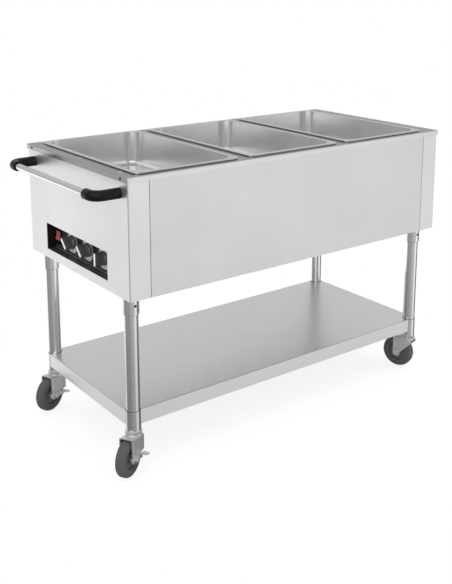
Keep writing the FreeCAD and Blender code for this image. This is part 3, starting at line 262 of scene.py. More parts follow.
class Effects:
    """Shader node groups that several finishes share. Each is built once."""

    PATCH_LEVELS = (-0.9, 2.1)
    BREAK_LEVELS = (0.55, 1.2)
    CLOUD_SHARE = 0.035

    def __init__(self) -> None:
        """Builds every group."""
        self.grain = self._grain()
        self.handling = self._handling()
        self.speckle = self._speckle()

    @staticmethod
    def _group(name: str, inputs: dict[str, float], outputs: Iterable[str]) -> tuple[Graph, Node, Node]:
        """Starts a node group with a vector input and named values.

        Args:
            name: The group's name.
            inputs: The float inputs and their defaults.
            outputs: The float outputs.

        Returns:
            A helper for the group's nodes, its input node and its output node.
        """
        tree = bpy.data.node_groups.new(name, "ShaderNodeTree")
        tree.interface.new_socket("Vector", in_out="INPUT", socket_type="NodeSocketVector")
        for key, value in inputs.items():
            socket = tree.interface.new_socket(key, in_out="INPUT", socket_type="NodeSocketFloat")
            socket.default_value = value
        for key in outputs:
            tree.interface.new_socket(key, in_out="OUTPUT", socket_type="NodeSocketFloat")
        return Graph(tree), tree.nodes.new("NodeGroupInput"), tree.nodes.new("NodeGroupOutput")

    def _grain(self) -> Tree:
        """Builds the brushed grain: long fine streaks and a slow change of tone.

        Returns:
            The node group, with Streak and Tone outputs.
        """
        defaults = {"Fine": 2600.0, "Slow": 6.0}
        graph, source, target = self._group("brushed_grain", defaults, ("Streak", "Tone"))
        where = source.outputs["Vector"]
        fine = graph.texture("TexNoise", where, source.outputs["Fine"], Detail=3.0, Roughness=0.65)
        slow = graph.texture("TexNoise", where, source.outputs["Slow"], Detail=2.0, Roughness=0.5)
        graph.link(fine.outputs[0], target.inputs["Streak"])
        graph.link(slow.outputs[0], target.inputs["Tone"])
        return graph.tree

    def _handling(self) -> Tree:
        """Builds the marks of wiping and handling: broad soft patches broken by fine ones.

        Returns:
            The node group, with a Mask output.
        """
        graph, source, target = self._group("handling_marks", {"Scale": 5.0, "Break": 60.0}, ("Mask",))
        where, scale = source.outputs["Vector"], source.outputs["Scale"]
        broad = graph.texture("TexNoise", where, scale, Detail=4.0, Roughness=0.6, Distortion=0.6)
        small = graph.texture("TexNoise", where, source.outputs["Break"], Detail=3.0, Roughness=0.55)
        patches = graph.spread(broad.outputs[0], self.PATCH_LEVELS)
        both = graph.math("MULTIPLY", patches, graph.spread(small.outputs[0], self.BREAK_LEVELS))
        clamp = graph.node("Clamp")
        graph.link(both, clamp.inputs["Value"])
        graph.link(clamp.outputs[0], target.inputs["Mask"])
        return graph.tree

    def _speckle(self) -> Tree:
        """Builds the fine texture of moulded and coated surfaces.

        Returns:
            The node group, with Height and Tone outputs.
        """
        graph, source, target = self._group("moulded_texture", {"Scale": 1800.0}, ("Height", "Tone"))
        where, scale = source.outputs["Vector"], source.outputs["Scale"]
        cells = graph.texture("TexVoronoi", where, scale, feature="SMOOTH_F1", Smoothness=0.6)
        coarse = graph.math("MULTIPLY", scale, self.CLOUD_SHARE)
        cloud = graph.texture("TexNoise", where, coarse, Detail=3.0, Roughness=0.6)
        graph.link(cells.outputs["Distance"], target.inputs["Height"])
        graph.link(cloud.outputs[0], target.inputs["Tone"])
        return graph.tree


class Painter(Graph):
    """The nodes of one material: its shader, the coordinates it reads and the shared effects."""

    def __init__(self, name: str, effects: Effects) -> None:
        """Starts a material with a bare shader.

        Args:
            name: The material's name.
            effects: The shared node groups.
        """
        self.material = bpy.data.materials.new(name)
        super().__init__(self.cleared(self.material))
        self.effects = effects
        self.shader = self.node("BsdfPrincipled")
        self.link(self.shader.outputs[0], self.node("OutputMaterial").inputs[0])
        self.where = self.node("TexCoord").outputs["Object"]

    def use(self, group: Tree, where: Socket, **values: float) -> Node:
        """Places a shared group.

        Args:
            group: The node group.
            where: The coordinates it reads.
            **values: Its inputs by name.

        Returns:
            The group node.
        """
        made = self.node("Group", node_tree=group)
        self.link(where, made.inputs["Vector"])
        for key, value in values.items():
            made.inputs[key].default_value = value
        return made

    def colour(self, value: Socket, dark: Sequence[float], light: Sequence[float]) -> None:
        """Feeds a colour between two others into the shader."""
        self.link(self.blend(value, dark, light), self.shader.inputs["Base Color"])

    def wear(self, gloss: Socket, amount: float, scale: float, broken: float) -> None:
        """Feeds a roughness that is raised by marks of handling into the shader.

        Args:
            gloss: The roughness without marks.
            amount: How much the marks raise it.
            scale: The scale of the marks.
            broken: The scale of their breaks.
        """
        marks = self.use(self.effects.handling, self.where, Scale=scale, Break=broken)
        worn = self.math("MULTIPLY_ADD", marks.outputs["Mask"], amount, gloss)
        self.link(worn, self.shader.inputs["Roughness"])

    def bump(self, height: Socket, strength: float, depth: float) -> None:
        """Feeds a height into the shader's normal.

        Args:
            height: The height socket.
            strength: How strong the bump is, 0 to 1.
            depth: The height in metres.
        """
        made = self.node("Bump", Strength=strength, Distance=depth)
        self.link(height, made.inputs["Height"])
        self.link(made.outputs[0], self.shader.inputs["Normal"])


@dataclass(frozen=True)
class Finish:
    """What every finish has: a name and the record's material slot it stands for."""

    name: str
    slot: str

    def material(self, effects: Effects) -> bpy.types.Material:
        """Builds the material.

        Args:
            effects: The shared node groups.

        Returns:
            The finished material.
        """
        painter = Painter(self.name, effects)
        self.paint(painter)
        return painter.material

    def paint(self, painter: Painter) -> None:
        """Fills in the shader. Each kind of finish has its own."""
        raise NotImplementedError


@dataclass(frozen=True)
class Steel(Finish):
    """Bare or plated metal with a brushed, drawn or bright surface."""

    tone: float = 0.78
    tint: Colour = (1.0, 1.0, 1.005)
    rough: float = 0.32
    spread: float = 0.06
    brush: Brush = Brush.NONE
    fine: float = 2600.0
    slow: float = 9.0
    change: float = 0.045
    relief: float = 0.08
    marks: float = 0.05
    metallic: float = 1.0
    streak_share: float = 0.6
    mark_scale: float = 4.0
    mark_break: float = 45.0
    depth: float = 0.0004

    def paint(self, painter: Painter) -> None:
        """Streaked colour and roughness, wiping marks and a fine relief along the brushing.

        Args:
            painter: The material's nodes.
        """
        stretch = painter.node("Mapping", Scale=self.brush.value)
        painter.link(painter.where, stretch.inputs["Vector"])
        grain = painter.use(painter.effects.grain, stretch.outputs[0], Fine=self.fine, Slow=self.slow)
        low = [self.tone * (1.0 - self.change) * c for c in self.tint]
        high = [min(1.0, self.tone * (1.0 + self.change) * c) for c in self.tint]
        streak = painter.math("MULTIPLY", grain.outputs["Streak"], self.streak_share)
        mixed = painter.math("MULTIPLY_ADD", grain.outputs["Tone"], 1.0 - self.streak_share, streak)
        painter.colour(mixed, low, high)
        gloss = painter.spread(mixed, (self.rough - self.spread, self.rough + self.spread))
        painter.wear(gloss, self.marks, self.mark_scale, self.mark_break)
        painter.shader.inputs["Metallic"].default_value = self.metallic
        painter.bump(grain.outputs["Streak"], self.relief, self.depth)


@dataclass(frozen=True)
class Moulding(Finish):
    """Moulded plastic or rubber, or a coat on metal."""

    dark: Colour = grey(0.02)
    light: Colour = grey(0.03)
    rough: float = 0.4
    spread: float = 0.08
    texture: float = 1800.0
    relief: float = 0.1
    depth: float = 0.0003
    coat: float = 0.0
    marks: float = 0.06
    gloss: float = 0.5
    mark_scale: float = 14.0
    mark_break: float = 160.0

    def paint(self, painter: Painter) -> None:
        """Mottled colour, uneven gloss and a fine moulded texture.

        Args:
            painter: The material's nodes.
        """
        skin = painter.use(painter.effects.speckle, painter.where, Scale=self.texture)
        painter.colour(skin.outputs["Tone"], self.dark, self.light)
        gloss = painter.spread(skin.outputs["Tone"], (self.rough - self.spread, self.rough + self.spread))
        painter.wear(gloss, self.marks, self.mark_scale, self.mark_break)
        painter.shader.inputs["Coat Weight"].default_value = self.coat
        painter.shader.inputs["Specular IOR Level"].default_value = self.gloss
        painter.bump(skin.outputs["Height"], self.relief, self.depth)


@dataclass(frozen=True)
class SpunDisc(Finish):
    """Dial discs with fine turned rings round each knob and a painted reflection: a fan of light and dark
    sectors painted into their colour.
    """

    tone: float = 0.95
    pitch: float = Side.LEFT.knob.y - Side.MIDDLE.knob.y
    middle: Pair = (Side.MIDDLE.knob.y, Side.MIDDLE.knob.z)
    fineness: float = 1400.0
    ring_levels: Pair = (0.86, 1.0)
    # Levels and edges of the painted reflection's fan of light and dark sectors.
    painted_fan_levels: Pair = (0.36, 1.0)
    painted_fan_edges: Pair = (-0.6, 0.6)
    rough: Pair = (0.36, 0.48)
    marks: float = 0.08
    mark_scale: float = 30.0
    mark_break: float = 300.0
    metallic: float = 0.6
    relief: float = 0.08
    depth: float = 0.0002

    def paint(self, painter: Painter) -> None:
        """Rings and a painted reflection, a fan of light and dark sectors in the colour, centred on each
        disc in turn, since the discs stand in a row.

        Args:
            painter: The material's nodes.
        """
        split = painter.node("SeparateXYZ")
        painter.link(painter.where, split.inputs[0])
        calc = painter.math
        shifted = calc("ADD", split.outputs["Y"], self.pitch / 2 - self.middle[0])
        across = calc("SUBTRACT", calc("FLOORED_MODULO", shifted, self.pitch), self.pitch / 2)
        up = calc("SUBTRACT", split.outputs["Z"], self.middle[1])
        across_squared = calc("MULTIPLY", across, across)
        up_squared = calc("MULTIPLY", up, up)
        squared = calc("ADD", across_squared, up_squared)
        ring = calc("PINGPONG", calc("MULTIPLY", calc("SQRT", squared), self.fineness), 1.0)
        # Painted reflection: the colour is lighter above and below each knob and darker to its sides, as
        # light falls on a spun disc.
        fan = calc("DIVIDE", calc("SUBTRACT", up_squared, across_squared), squared)
        painted_reflection = painter.spread(fan, self.painted_fan_levels, self.painted_fan_edges, soft=True)
        lit = calc("MULTIPLY", painter.spread(ring, self.ring_levels), painted_reflection)
        painter.colour(lit, grey(0.0), grey(self.tone))
        painter.wear(painter.spread(ring, self.rough), self.marks, self.mark_scale, self.mark_break)
        painter.shader.inputs["Metallic"].default_value = self.metallic
        painter.bump(ring, self.relief, self.depth)


@dataclass(frozen=True)
class Print(Finish):
    """Printed marks: ink that is a little uneven."""

    ink: Colour = grey(0.02)
    thin: Colour = grey(0.04)
    texture: float = 2600.0
    rough: Pair = (0.42, 0.6)

    def paint(self, painter: Painter) -> None:
        """Ink with a slight break in its cover.

        Args:
            painter: The material's nodes.
        """
        tone = painter.use(painter.effects.speckle, painter.where, Scale=self.texture).outputs["Tone"]
        painter.colour(tone, self.ink, self.thin)
        painter.link(painter.spread(tone, self.rough), painter.shader.inputs["Roughness"])


# Painted light: the end panels get a lighter tone than the long panels of the same steel.
PANEL_X = Steel("panel_steel_long", "sheet_steel", tone=0.87, rough=0.42, brush=Brush.ALONG_X)
PANEL_Y_LIT = Steel("panel_steel_end_lit", "sheet_steel", tone=0.92, rough=0.40, brush=Brush.ALONG_Y)
# Painted shade: near-black steel for the faces seen inside the narrow panel seams.
SEAM_SHADE = Steel("seam_painted_shade", "sheet_steel", tone=0.07, rough=0.50)
SHELF = Steel(
    "shelf_steel", "sheet_steel", tone=0.92, rough=0.26, brush=Brush.ALONG_X,
    slow=40.0, change=0.035, relief=0.025,
)
# Painted shade: the shelf's lips and the folds into them get a darker tone than its top, which also dims
# the bright line along each fold.
SHADED_LIP_X = Steel(
    "shelf_lip_long_painted_shade", "sheet_steel", tone=0.80, rough=0.30, brush=Brush.ALONG_X, slow=60.0, change=0.08,
)
SHADED_LIP_Y = Steel(
    "shelf_lip_end_painted_shade", "sheet_steel", tone=0.82, rough=0.30, brush=Brush.ALONG_Y, slow=60.0, change=0.08,
)
TRAY = Steel("tray_steel", "sheet_steel", tone=0.56, rough=0.34, brush=Brush.ALONG_X)
# Painted shade: the deck's top gets a much darker tone than the same steel on its lips and the other
# panels, for the dim light it reflects.
DECK_SHADED = Steel("deck_steel_painted_shade", "sheet_steel", tone=0.44, rough=0.26, brush=Brush.ALONG_X)
DECK_LIP = Steel("deck_lip_long", "sheet_steel", tone=0.84, rough=0.36, brush=Brush.ALONG_X)
PAN = Steel("pan_steel", "pressed_steel", tone=0.80, rough=0.20, fine=420.0, relief=0.04)
WELL = Steel("well_steel", "pressed_steel", tone=0.72, rough=0.30, fine=300.0, relief=0.05, marks=0.12)
TUBE = Steel(
    "leg_tube_steel", "tube_steel", tone=0.80, rough=0.09, spread=0.03, brush=Brush.ALONG_Z,
    fine=1800.0, relief=0.03,
)
# Painted shadow: a near-black band on the top edge of each shelf collar, where the leg tube goes in and
# shade falls.
PAINTED_SLEEVE_SHADOW = Steel("painted_sleeve_shadow", "tube_steel", tone=0.12, rough=0.40, fine=900.0)
HANDLE = Steel(
    "handle_tube_steel", "handle_steel", tone=0.84, rough=0.11, brush=Brush.ALONG_Y,
    fine=1600.0, relief=0.03,
)
ZINC = Steel(
    "zinc_plate", "zinc_steel", tone=0.80, tint=(0.99, 1.0, 1.01), rough=0.32,
    fine=900.0, relief=0.06, marks=0.1, metallic=0.80,
)
SCREW = Steel("blued_screw", "zinc_steel", tone=0.20, rough=0.30, fine=900.0, relief=0.05)
ELEMENT = Steel(
    "heater_sheath", "element_steel", tone=0.30, tint=(1.0, 0.95, 0.88), rough=0.45, fine=700.0, marks=0.15,
)
POINTER = Steel(
    "pointer_metal", "dial_metal", tone=0.92, rough=0.34, brush=Brush.ALONG_Y, fine=2000.0, relief=0.03,
)
DIAL = SpunDisc("spun_dial", "dial_metal")
BLACK_COAT = Moulding(
    "black_coat", "black_steel", grey(0.006), grey(0.011), 0.45, texture=2400.0, gloss=0.3,
)
# Painted light: a lighter copy of the black coat for the recess floor, standing for the light it catches.
RECESS_FLOOR_LIT = Moulding("recess_floor_painted_light", "black_steel", grey(0.04), grey(0.06), 0.40, texture=2400.0)
BLACK_SATIN = Moulding(
    "black_moulding", "black_plastic", grey(0.004), grey(0.008), 0.30, texture=2200.0, gloss=0.26,
)
# Painted sheen: the knobs get a grey copy of the black moulding, much lighter than the other black parts,
# standing for the light on their sides.
KNOB_BLACK_SHEEN = Moulding(
    "knob_moulding_painted_sheen", "black_plastic", grey(0.08), grey(0.12), 0.28, texture=2600.0, gloss=0.9,
)
RED = Moulding(
    "red_rocker", "red_plastic", (0.52, 0.10, 0.09), (0.66, 0.17, 0.15), 0.28,
    texture=900.0, relief=0.03, coat=0.3,
)
PALE = Moulding("control_moulding", "control_plastic", (0.66, 0.64, 0.58), (0.76, 0.74, 0.68), 0.5)
HUB_GREY = Moulding(
    "wheel_moulding", "wheel_plastic", grey(0.115), grey(0.16), 0.5, texture=1200.0, gloss=0.4,
)
TYRE = Moulding(
    "tyre_rubber", "tyre_rubber", grey(0.085), grey(0.130), 0.62, texture=900.0, relief=0.2, gloss=0.4,
)
INK = Print("dial_ink", "dial_metal")


class Wardrobe:
    """Keeps one material per finish and puts it on nodes and new pieces."""

    FACING = 0.3

    def __init__(self) -> None:
        """Builds the shared effects."""
        self.effects = Effects()
        self.made: dict[str, bpy.types.Material] = {}

    def get(self, finish: Finish) -> bpy.types.Material:
        """The material of a finish, built when first asked for.

        Args:
            finish: The finish.

        Returns:
            Its material.
        """
        if finish.name not in self.made:
            self.made[finish.name] = finish.material(self.effects)
        return self.made[finish.name]

    def dress_nodes(self, finish: Finish, *names: str) -> None:
        """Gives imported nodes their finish.

        Args:
            finish: The finish they get.
            *names: The nodes' names.
        """
        for name in names:
            mesh = frame["nodes"][name].data
            mesh.materials.clear()
            mesh.materials.append(self.get(finish))
            LOG.info("node %s dressed as %s", name, finish.name)

    def dress_sides(
        self, name: str, axis: Axis, finish: Finish, low: float = -math.inf, high: float = math.inf
    ) -> None:
        """Gives the faces of a node that look along one axis a finish of their own.

        Args:
            name: The node's name.
            axis: The axis.
            finish: The finish they get.
            low: Where along the axis such faces start to count.
            high: Where along the axis they stop.
        """
        mesh = frame["nodes"][name].data
        mesh.materials.append(self.get(finish))
        for polygon in mesh.polygons:
            if abs(polygon.normal[axis]) > self.FACING and low < polygon.center[axis] < high:
                polygon.material_index = len(mesh.materials) - 1
        LOG.info("sides of %s along %s dressed as %s", name, axis.name, finish.name)

    def dress_piece(self, piece: bpy.types.Object, finish: Finish, body: str) -> None:
        """Gives a new piece its finish and the body it rides on.

        Args:
            piece: The new object.
            finish: The finish it gets.
            body: The body it moves with.
        """
        piece.data.materials.append(self.get(finish))
        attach(piece, body)
        LOG.info("piece %s dressed as %s, rides on %s", piece.name, finish.name, body)


class Shop:
    """Mesh operations that the sub-assemblies share."""

    MERGE = 1e-7
    WELD = 1e-6

    @staticmethod
    def piece(name: str, mesh: Mesh) -> bpy.types.Object:
        """Turns a bmesh into an object at the origin.

        Args:
            name: The object's name.
            mesh: The finished bmesh, which is freed.

        Returns:
            The new object.
        """
        bmesh.ops.remove_doubles(mesh, verts=mesh.verts, dist=Shop.MERGE)
        bmesh.ops.recalc_face_normals(mesh, faces=mesh.faces)
        data = bpy.data.meshes.new(name)
        mesh.to_mesh(data)
        mesh.free()
        made = bpy.data.objects.new(name, data)
        bpy.context.scene.collection.objects.link(made)
        return made

    @staticmethod
    def block(mesh: Mesh, place: Matrix, size: Sequence[float], round_by: float = 0.0) -> None:
        """Adds a block with eased edges.

        Args:
            mesh: The bmesh to add to.
            place: Where the block's middle goes.
            size: Its three sizes.
            round_by: How far its edges are eased.
        """
        made = bmesh.ops.create_cube(mesh, size=1.0, matrix=place @ Matrix.Diagonal((*size, 1.0)))
        if round_by:
            edges = {edge for vert in made["verts"] for edge in vert.link_edges}
            bmesh.ops.bevel(
                mesh, geom=list(edges), offset=round_by, offset_type="OFFSET", affect="EDGES",
                segments=2, profile=0.5, material=-1,
            )

    @staticmethod
    def turned(mesh: Mesh, profile: Sequence[Pair], place: Matrix, steps: int) -> None:
        """Adds a ring by spinning a closed profile about the place's own Z axis.

        Args:
            mesh: The bmesh to add to.
            profile: Points as (radius, height).
            place: The frame of the spin.
            steps: Steps of the full turn.
        """
        verts = [mesh.verts.new(place @ Vector((r, 0.0, h))) for r, h in profile]
        edges = [mesh.edges.new(pair) for pair in zip(verts, verts[1:] + verts[:1])]
        bmesh.ops.spin(
            mesh, geom=verts + edges, cent=place.translation, axis=place.to_3x3() @ UP,
            angle=math.tau, steps=steps, use_merge=True,
        )

    @staticmethod
    def prism(mesh: Mesh, place: Matrix, radius: float, height: float, sides: int) -> None:
        """Adds a closed prism from its foot up.

        Args:
            mesh: The bmesh to add to.
            place: The frame of its foot.
            radius: The radius of its corners.
            height: Its height along the place's Z axis.
            sides: How many sides it has.
        """
        middle = place @ Matrix.Translation(UP * height / 2)
        bmesh.ops.create_cone(
            mesh, cap_ends=True, segments=sides, radius1=radius, radius2=radius,
            depth=height, matrix=middle,
        )

    @staticmethod
    def islands(data: bpy.types.Mesh) -> list[list[Vector]]:
        """Finds the separate solids of a node.

        Args:
            data: The node's mesh.

        Returns:
            The low and high corner of each solid's box.
        """
        mesh = bmesh.new()
        mesh.from_mesh(data)
        bmesh.ops.remove_doubles(mesh, verts=mesh.verts, dist=Shop.WELD)
        left = set(mesh.verts)
        boxes = []
        while left:
            reached = [left.pop()]
            for vert in reached:
                near = {edge.other_vert(vert) for edge in vert.link_edges} & left
                reached.extend(near)
                left -= near
            spots = [vert.co for vert in reached]
            boxes.append([Vector(pick(spot[i] for spot in spots) for i in Axis) for pick in (min, max)])
        mesh.free()
        return boxes

    @staticmethod
    def numeral(text: str, size: float, half: float) -> bpy.types.Mesh:
        """Makes a thin numeral as a mesh, centred on its own origin.

        Args:
            text: The figure.
            size: Its height.
            half: Half its thickness.

        Returns:
            The mesh.
        """
        curve = bpy.data.curves.new("numeral_" + text, "FONT")
        curve.body = text
        curve.size = size
        curve.align_x = "CENTER"
        curve.align_y = "CENTER"
        curve.extrude = half
        holder = bpy.data.objects.new("numeral_" + text, curve)
        bpy.context.scene.collection.objects.link(holder)
        shown = holder.evaluated_get(bpy.context.evaluated_depsgraph_get())
        made = bpy.data.meshes.new_from_object(shown)
        bpy.data.objects.remove(holder)
        bpy.data.curves.remove(curve)
        return made


@dataclass
class Body:
    """The sheet-steel body with its deck, wells and hidden heating."""

    wardrobe: Wardrobe
    skin: float = 0.0007
    face_depth: float = 0.03

    def paint_seam_shade(self) -> None:
        """Paints shade into the narrow seams: the cut edges and laps that show through them get a
        near-black finish.
        """
        dress = self.wardrobe.dress_sides
        for name in ("front_panel", "rear_panel"):
            dress(name, Axis.X, SEAM_SHADE)
        dress("front_panel", Axis.Y, SEAM_SHADE, low=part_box("front_panel")[0].y + self.skin)
        dress("rear_panel", Axis.Y, SEAM_SHADE, high=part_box("rear_panel")[1].y - self.skin)
        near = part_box("control_end_panel")[0].x + self.face_depth
        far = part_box("plain_end_panel")[1].x - self.face_depth
        dress("control_end_panel", Axis.X, SEAM_SHADE, low=near)
        dress("plain_end_panel", Axis.X, SEAM_SHADE, high=far)

    def build(self) -> None:
        """Dresses the body's nodes."""
        dress = self.wardrobe.dress_nodes
        dress(PANEL_X, "front_panel", "rear_panel")
        dress(PANEL_Y_LIT, "control_end_panel", "plain_end_panel")
        self.paint_seam_shade()
        # The deck's top takes the darker tone, painted shade; its lips take the lighter one.
        dress(DECK_SHADED, "top_deck")
        self.wardrobe.dress_sides("top_deck", Axis.Y, DECK_LIP)
        dress(TRAY, "base_tray")
        for side in Side:
            dress(WELL, "well_" + side.value)
            dress(PAN, "pan_" + side.value)
        dress(ELEMENT, "heating_elements")
        dress(ZINC, "element_clamps")
        dress(BLACK_SATIN, "cable_gland")
        dress(PALE, "terminal_block")


@dataclass
class Controls:
    """The control recess: dials with their marks, knobs and the switch."""

    wardrobe: Wardrobe
    tick_inner: float = 0.0205
    tick_outer: float = 0.0236
    tick_width: float = 0.0007
    small_tick_inner: float = 0.0217
    small_tick_width: float = 0.00035
    ticks_per_figure: int = 4
    tick_ink: float = 0.0001
    figure_radius: float = 0.0272
    figure_size: float = 0.0052
    figure_ink: float = 0.00004
    sweep: float = 270.0
    seam: float = 0.0012
    seam_rise: float = 0.0075
    seam_round: float = 0.00024
    flush: float = 1e-4
    figures: tuple[str, ...] = ("0", "1", "2", "3", "4", "5", "6")

    @staticmethod
    def face(side: Side) -> Matrix:
        """Frame on a dial's face: X to the viewer's right, Y up, Z towards the viewer.

        Args:
            side: Whose dial it is.

        Returns:
            The frame.
        """
        turn = Matrix(((0.0, 0.0, -1.0), (-1.0, 0.0, 0.0), (0.0, 1.0, 0.0))).to_4x4()
        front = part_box("dial_plates")[0].x
        return Matrix.Translation((front, side.knob.y, side.knob.z)) @ turn

    def ticks(self, mesh: Mesh, face: Matrix) -> None:
        """Adds the ticks of one dial, long ones at its figures.

        Args:
            mesh: The bmesh to add to.
            face: The frame on the dial's face.
        """
        count = self.ticks_per_figure * (len(self.figures) - 1)
        for step in range(count + 1):
            inner, width = self.small_tick_inner, self.small_tick_width
            if step % self.ticks_per_figure == 0:
                inner, width = self.tick_inner, self.tick_width
            turn = Matrix.Rotation(-math.radians(self.sweep * step / count), 4, "Z")
            spot = turn @ Matrix.Translation((0.0, (inner + self.tick_outer) / 2, self.tick_ink / 2))
            Shop.block(mesh, face @ spot, (width, self.tick_outer - inner, self.tick_ink))

    def numerals(self, mesh: Mesh, face: Matrix) -> None:
        """Adds the figures of one dial.

        Args:
            mesh: The bmesh to add to.
            face: The frame on the dial's face.
        """
        for index, text in enumerate(self.figures):
            angle = -math.radians(self.sweep * index / (len(self.figures) - 1))
            spot = Vector((-math.sin(angle), math.cos(angle), 0.0)) * self.figure_radius
            figure = Shop.numeral(text, self.figure_size, self.figure_ink)
            figure.transform(face @ Matrix.Translation(spot + UP * self.figure_ink))
            mesh.from_mesh(figure)
            bpy.data.meshes.remove(figure)

    def marks(self) -> None:
        """Adds the printed ticks and figures round each dial."""
        mesh = bmesh.new()
        for side in Side:
            face = self.face(side)
            self.ticks(mesh, face)
            self.numerals(mesh, face)
        self.wardrobe.dress_piece(Shop.piece("dial_marks", mesh), INK, "cart")

    def seams(self) -> None:
        """Adds the bright edges of the recess liner: one in the floor's back corner, one a little above."""
        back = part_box("dial_plates")[1].x
        liner = frame["nodes"]["control_housing"].data.vertices
        spots = [vert.co for vert in liner if abs(vert.co.x - back) < self.flush]
        start = min(spot.y for spot in spots)
        end = max(spot.y for spot in spots)
        foot = min(spot.z for spot in spots)
        mesh = bmesh.new()
        for lift in (0.0, self.seam_rise):
            middle = Vector((back - self.seam / 2, (start + end) / 2, foot + lift + self.seam / 2))
            size = (self.seam, end - start, self.seam)
            Shop.block(mesh, Matrix.Translation(middle), size, self.seam_round)
        self.wardrobe.dress_piece(Shop.piece("recess_seams", mesh), ZINC, "cart")

    def build(self) -> None:
        """Dresses the recess and adds its printed marks and bright seams."""
        dress = self.wardrobe.dress_nodes
        dress(BLACK_COAT, "control_housing")
        # The recess floor takes the lighter copy of the black coat: painted light.
        self.wardrobe.dress_sides("control_housing", Axis.Z, RECESS_FLOOR_LIT, high=Side.MIDDLE.knob.z)
        dress(DIAL, "dial_plates")
        dress(PALE, "thermostats")
        dress(BLACK_SATIN, "switch_frame")
        dress(RED, "switch_rocker")
        for side in Side:
            # The knobs take the lighter, painted-sheen copy of the black moulding.
            dress(KNOB_BLACK_SHEEN, "knob_" + side.value)
            dress(POINTER, "knob_pointer_" + side.value)
        self.marks()
        self.seams()


@dataclass
class PushHandle:
    """The push handle across the control end."""

    wardrobe: Wardrobe

    def build(self) -> None:
        """Dresses the bar, its elbows and their bolts."""
        dress = self.wardrobe.dress_nodes
        dress(HANDLE, "handle_bar")
        dress(BLACK_SATIN, "handle_elbow_front", "handle_elbow_rear")
        dress(ZINC, "handle_bolts")


@dataclass
class Undercarriage:
    """Legs, their sockets and collars, and the undershelf."""

    wardrobe: Wardrobe
    # Depth of the painted shadow band at the top of each collar.
    painted_sleeve_shadow: float = 0.0015

    def build(self) -> None:
        """Dresses the legs and the shelf."""
        dress, dress_sides = self.wardrobe.dress_nodes, self.wardrobe.dress_sides
        for corner in Corner:
            dress(TUBE, "leg_" + corner.value)
        dress(TUBE, "leg_sockets", "shelf_collars")
        # Paints shadow on the collars' top edge, in a band this deep below their top.
        dress_sides("shelf_collars", Axis.Z, PAINTED_SLEEVE_SHADOW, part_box("shelf_collars")[1].z - self.painted_sleeve_shadow)
        dress(SHELF, "undershelf")
        # The lips and folds take the darker tones: painted shade.
        dress_sides("undershelf", Axis.X, SHADED_LIP_Y)
        dress_sides("undershelf", Axis.Y, SHADED_LIP_X)


@dataclass
class Casters:
    """Swivel casters: forks, wheels, axles and brakes."""

    wardrobe: Wardrobe
    braked: tuple[Corner, ...] = (Corner.FRONT_LEFT, Corner.REAR_LEFT)
    ring_share: float = 0.775
    ring_width: float = 0.0014
    ring_crest: float = 0.6
    ring_height: float = 0.0004
    ring_steps: int = 96
    rib_width: float = 0.010
    rib_start: float = 0.020
    rib_end: float = 0.046
    rib_height: float = 0.0009

    @staticmethod
    def local(name: str, corner: Corner) -> list[Vector]:
        """The points of a node in the frame of its wheel.

        Args:
            name: The node's name without its corner.
            corner: Whose node and wheel it is.

        Returns:
            The points.
        """
        back = corner.wheel.inverted()
        return [back @ vert.co for vert in frame["nodes"][name + corner.value].data.vertices]

    def rings(self, corner: Corner) -> None:
        """Adds the moulded ring on both sidewalls of a tyre.

        Args:
            corner: Whose tyre it is.
        """
        local = self.local("tyre_", corner)
        half = max(spot.z for spot in local)
        middle = self.ring_share * max(spot.xy.length for spot in local)
        wide, crest = self.ring_width / 2, self.ring_crest * self.ring_width / 2
        foot, top = half - self.ring_height, half + self.ring_height
        profile = (
            (middle - wide, foot), (middle - wide, half), (middle - crest, top),
            (middle + crest, top), (middle + wide, half), (middle + wide, foot),
        )
        mesh = bmesh.new()
        for flip in (0.0, math.pi):
            Shop.turned(mesh, profile, corner.wheel @ Matrix.Rotation(flip, 4, "X"), self.ring_steps)
        piece = Shop.piece("tyre_rings_" + corner.value, mesh)
        self.wardrobe.dress_piece(piece, TYRE, "wheel_" + corner.value)

    def ribs(self, corner: Corner) -> None:
        """Adds the pressed rib on both sides of a fork, between its axle and its crown.

        Args:
            corner: Whose fork it is.
        """
        half = max(abs(spot.z) for spot in self.local("fork_", corner) if spot.y > self.rib_width / 2)
        tall = self.rib_end - self.rib_start
        mesh = bmesh.new()
        for side in (-half, half):
            middle = Matrix.Translation((0.0, -self.rib_start - tall / 2, side))
            size = (self.rib_width, tall, 2 * self.rib_height)
            Shop.block(mesh, corner.wheel @ middle, size, self.rib_height)
        piece = Shop.piece("fork_ribs_" + corner.value, mesh)
        self.wardrobe.dress_piece(piece, ZINC, "swivel_" + corner.value)

    def build(self) -> None:
        """Dresses every caster."""
        dress = self.wardrobe.dress_nodes
        dress(ZINC, "caster_stems")
        for corner in Corner:
            dress(ZINC, "fork_" + corner.value, "axle_" + corner.value)
            dress(HUB_GREY, "wheel_core_" + corner.value)
            dress(TYRE, "tyre_" + corner.value)
            self.rings(corner)
            self.ribs(corner)
        for corner in self.braked:
            dress(ZINC, "brake_lever_" + corner.value)


@dataclass
class Fixings:
    """Rivets, screws and grub screws."""

    wardrobe: Wardrobe
    stub_radius: float = 0.0012
    stub_root: float = 0.0002
    stub_height: float = 0.0003
    stub_sides: int = 20

    def stubs(self) -> None:
        """Adds the broken end of the pull stem in the middle of each rivet head."""
        mesh = bmesh.new()
        for low, high in Shop.islands(frame["nodes"]["deck_rivets"].data):
            foot = Vector(((low.x + high.x) / 2, (low.y + high.y) / 2, high.z - self.stub_root))
            Shop.prism(mesh, Matrix.Translation(foot), self.stub_radius, self.stub_height, self.stub_sides)
        self.wardrobe.dress_piece(Shop.piece("rivet_stubs", mesh), SCREW, "cart")

    def build(self) -> None:
        """Dresses the fixings and adds the rivets' stems."""
        dress = self.wardrobe.dress_nodes
        dress(ZINC, "deck_rivets")
        dress(SCREW, "lip_screws")
        dress(BLACK_COAT, "grub_screws")
        self.stubs()


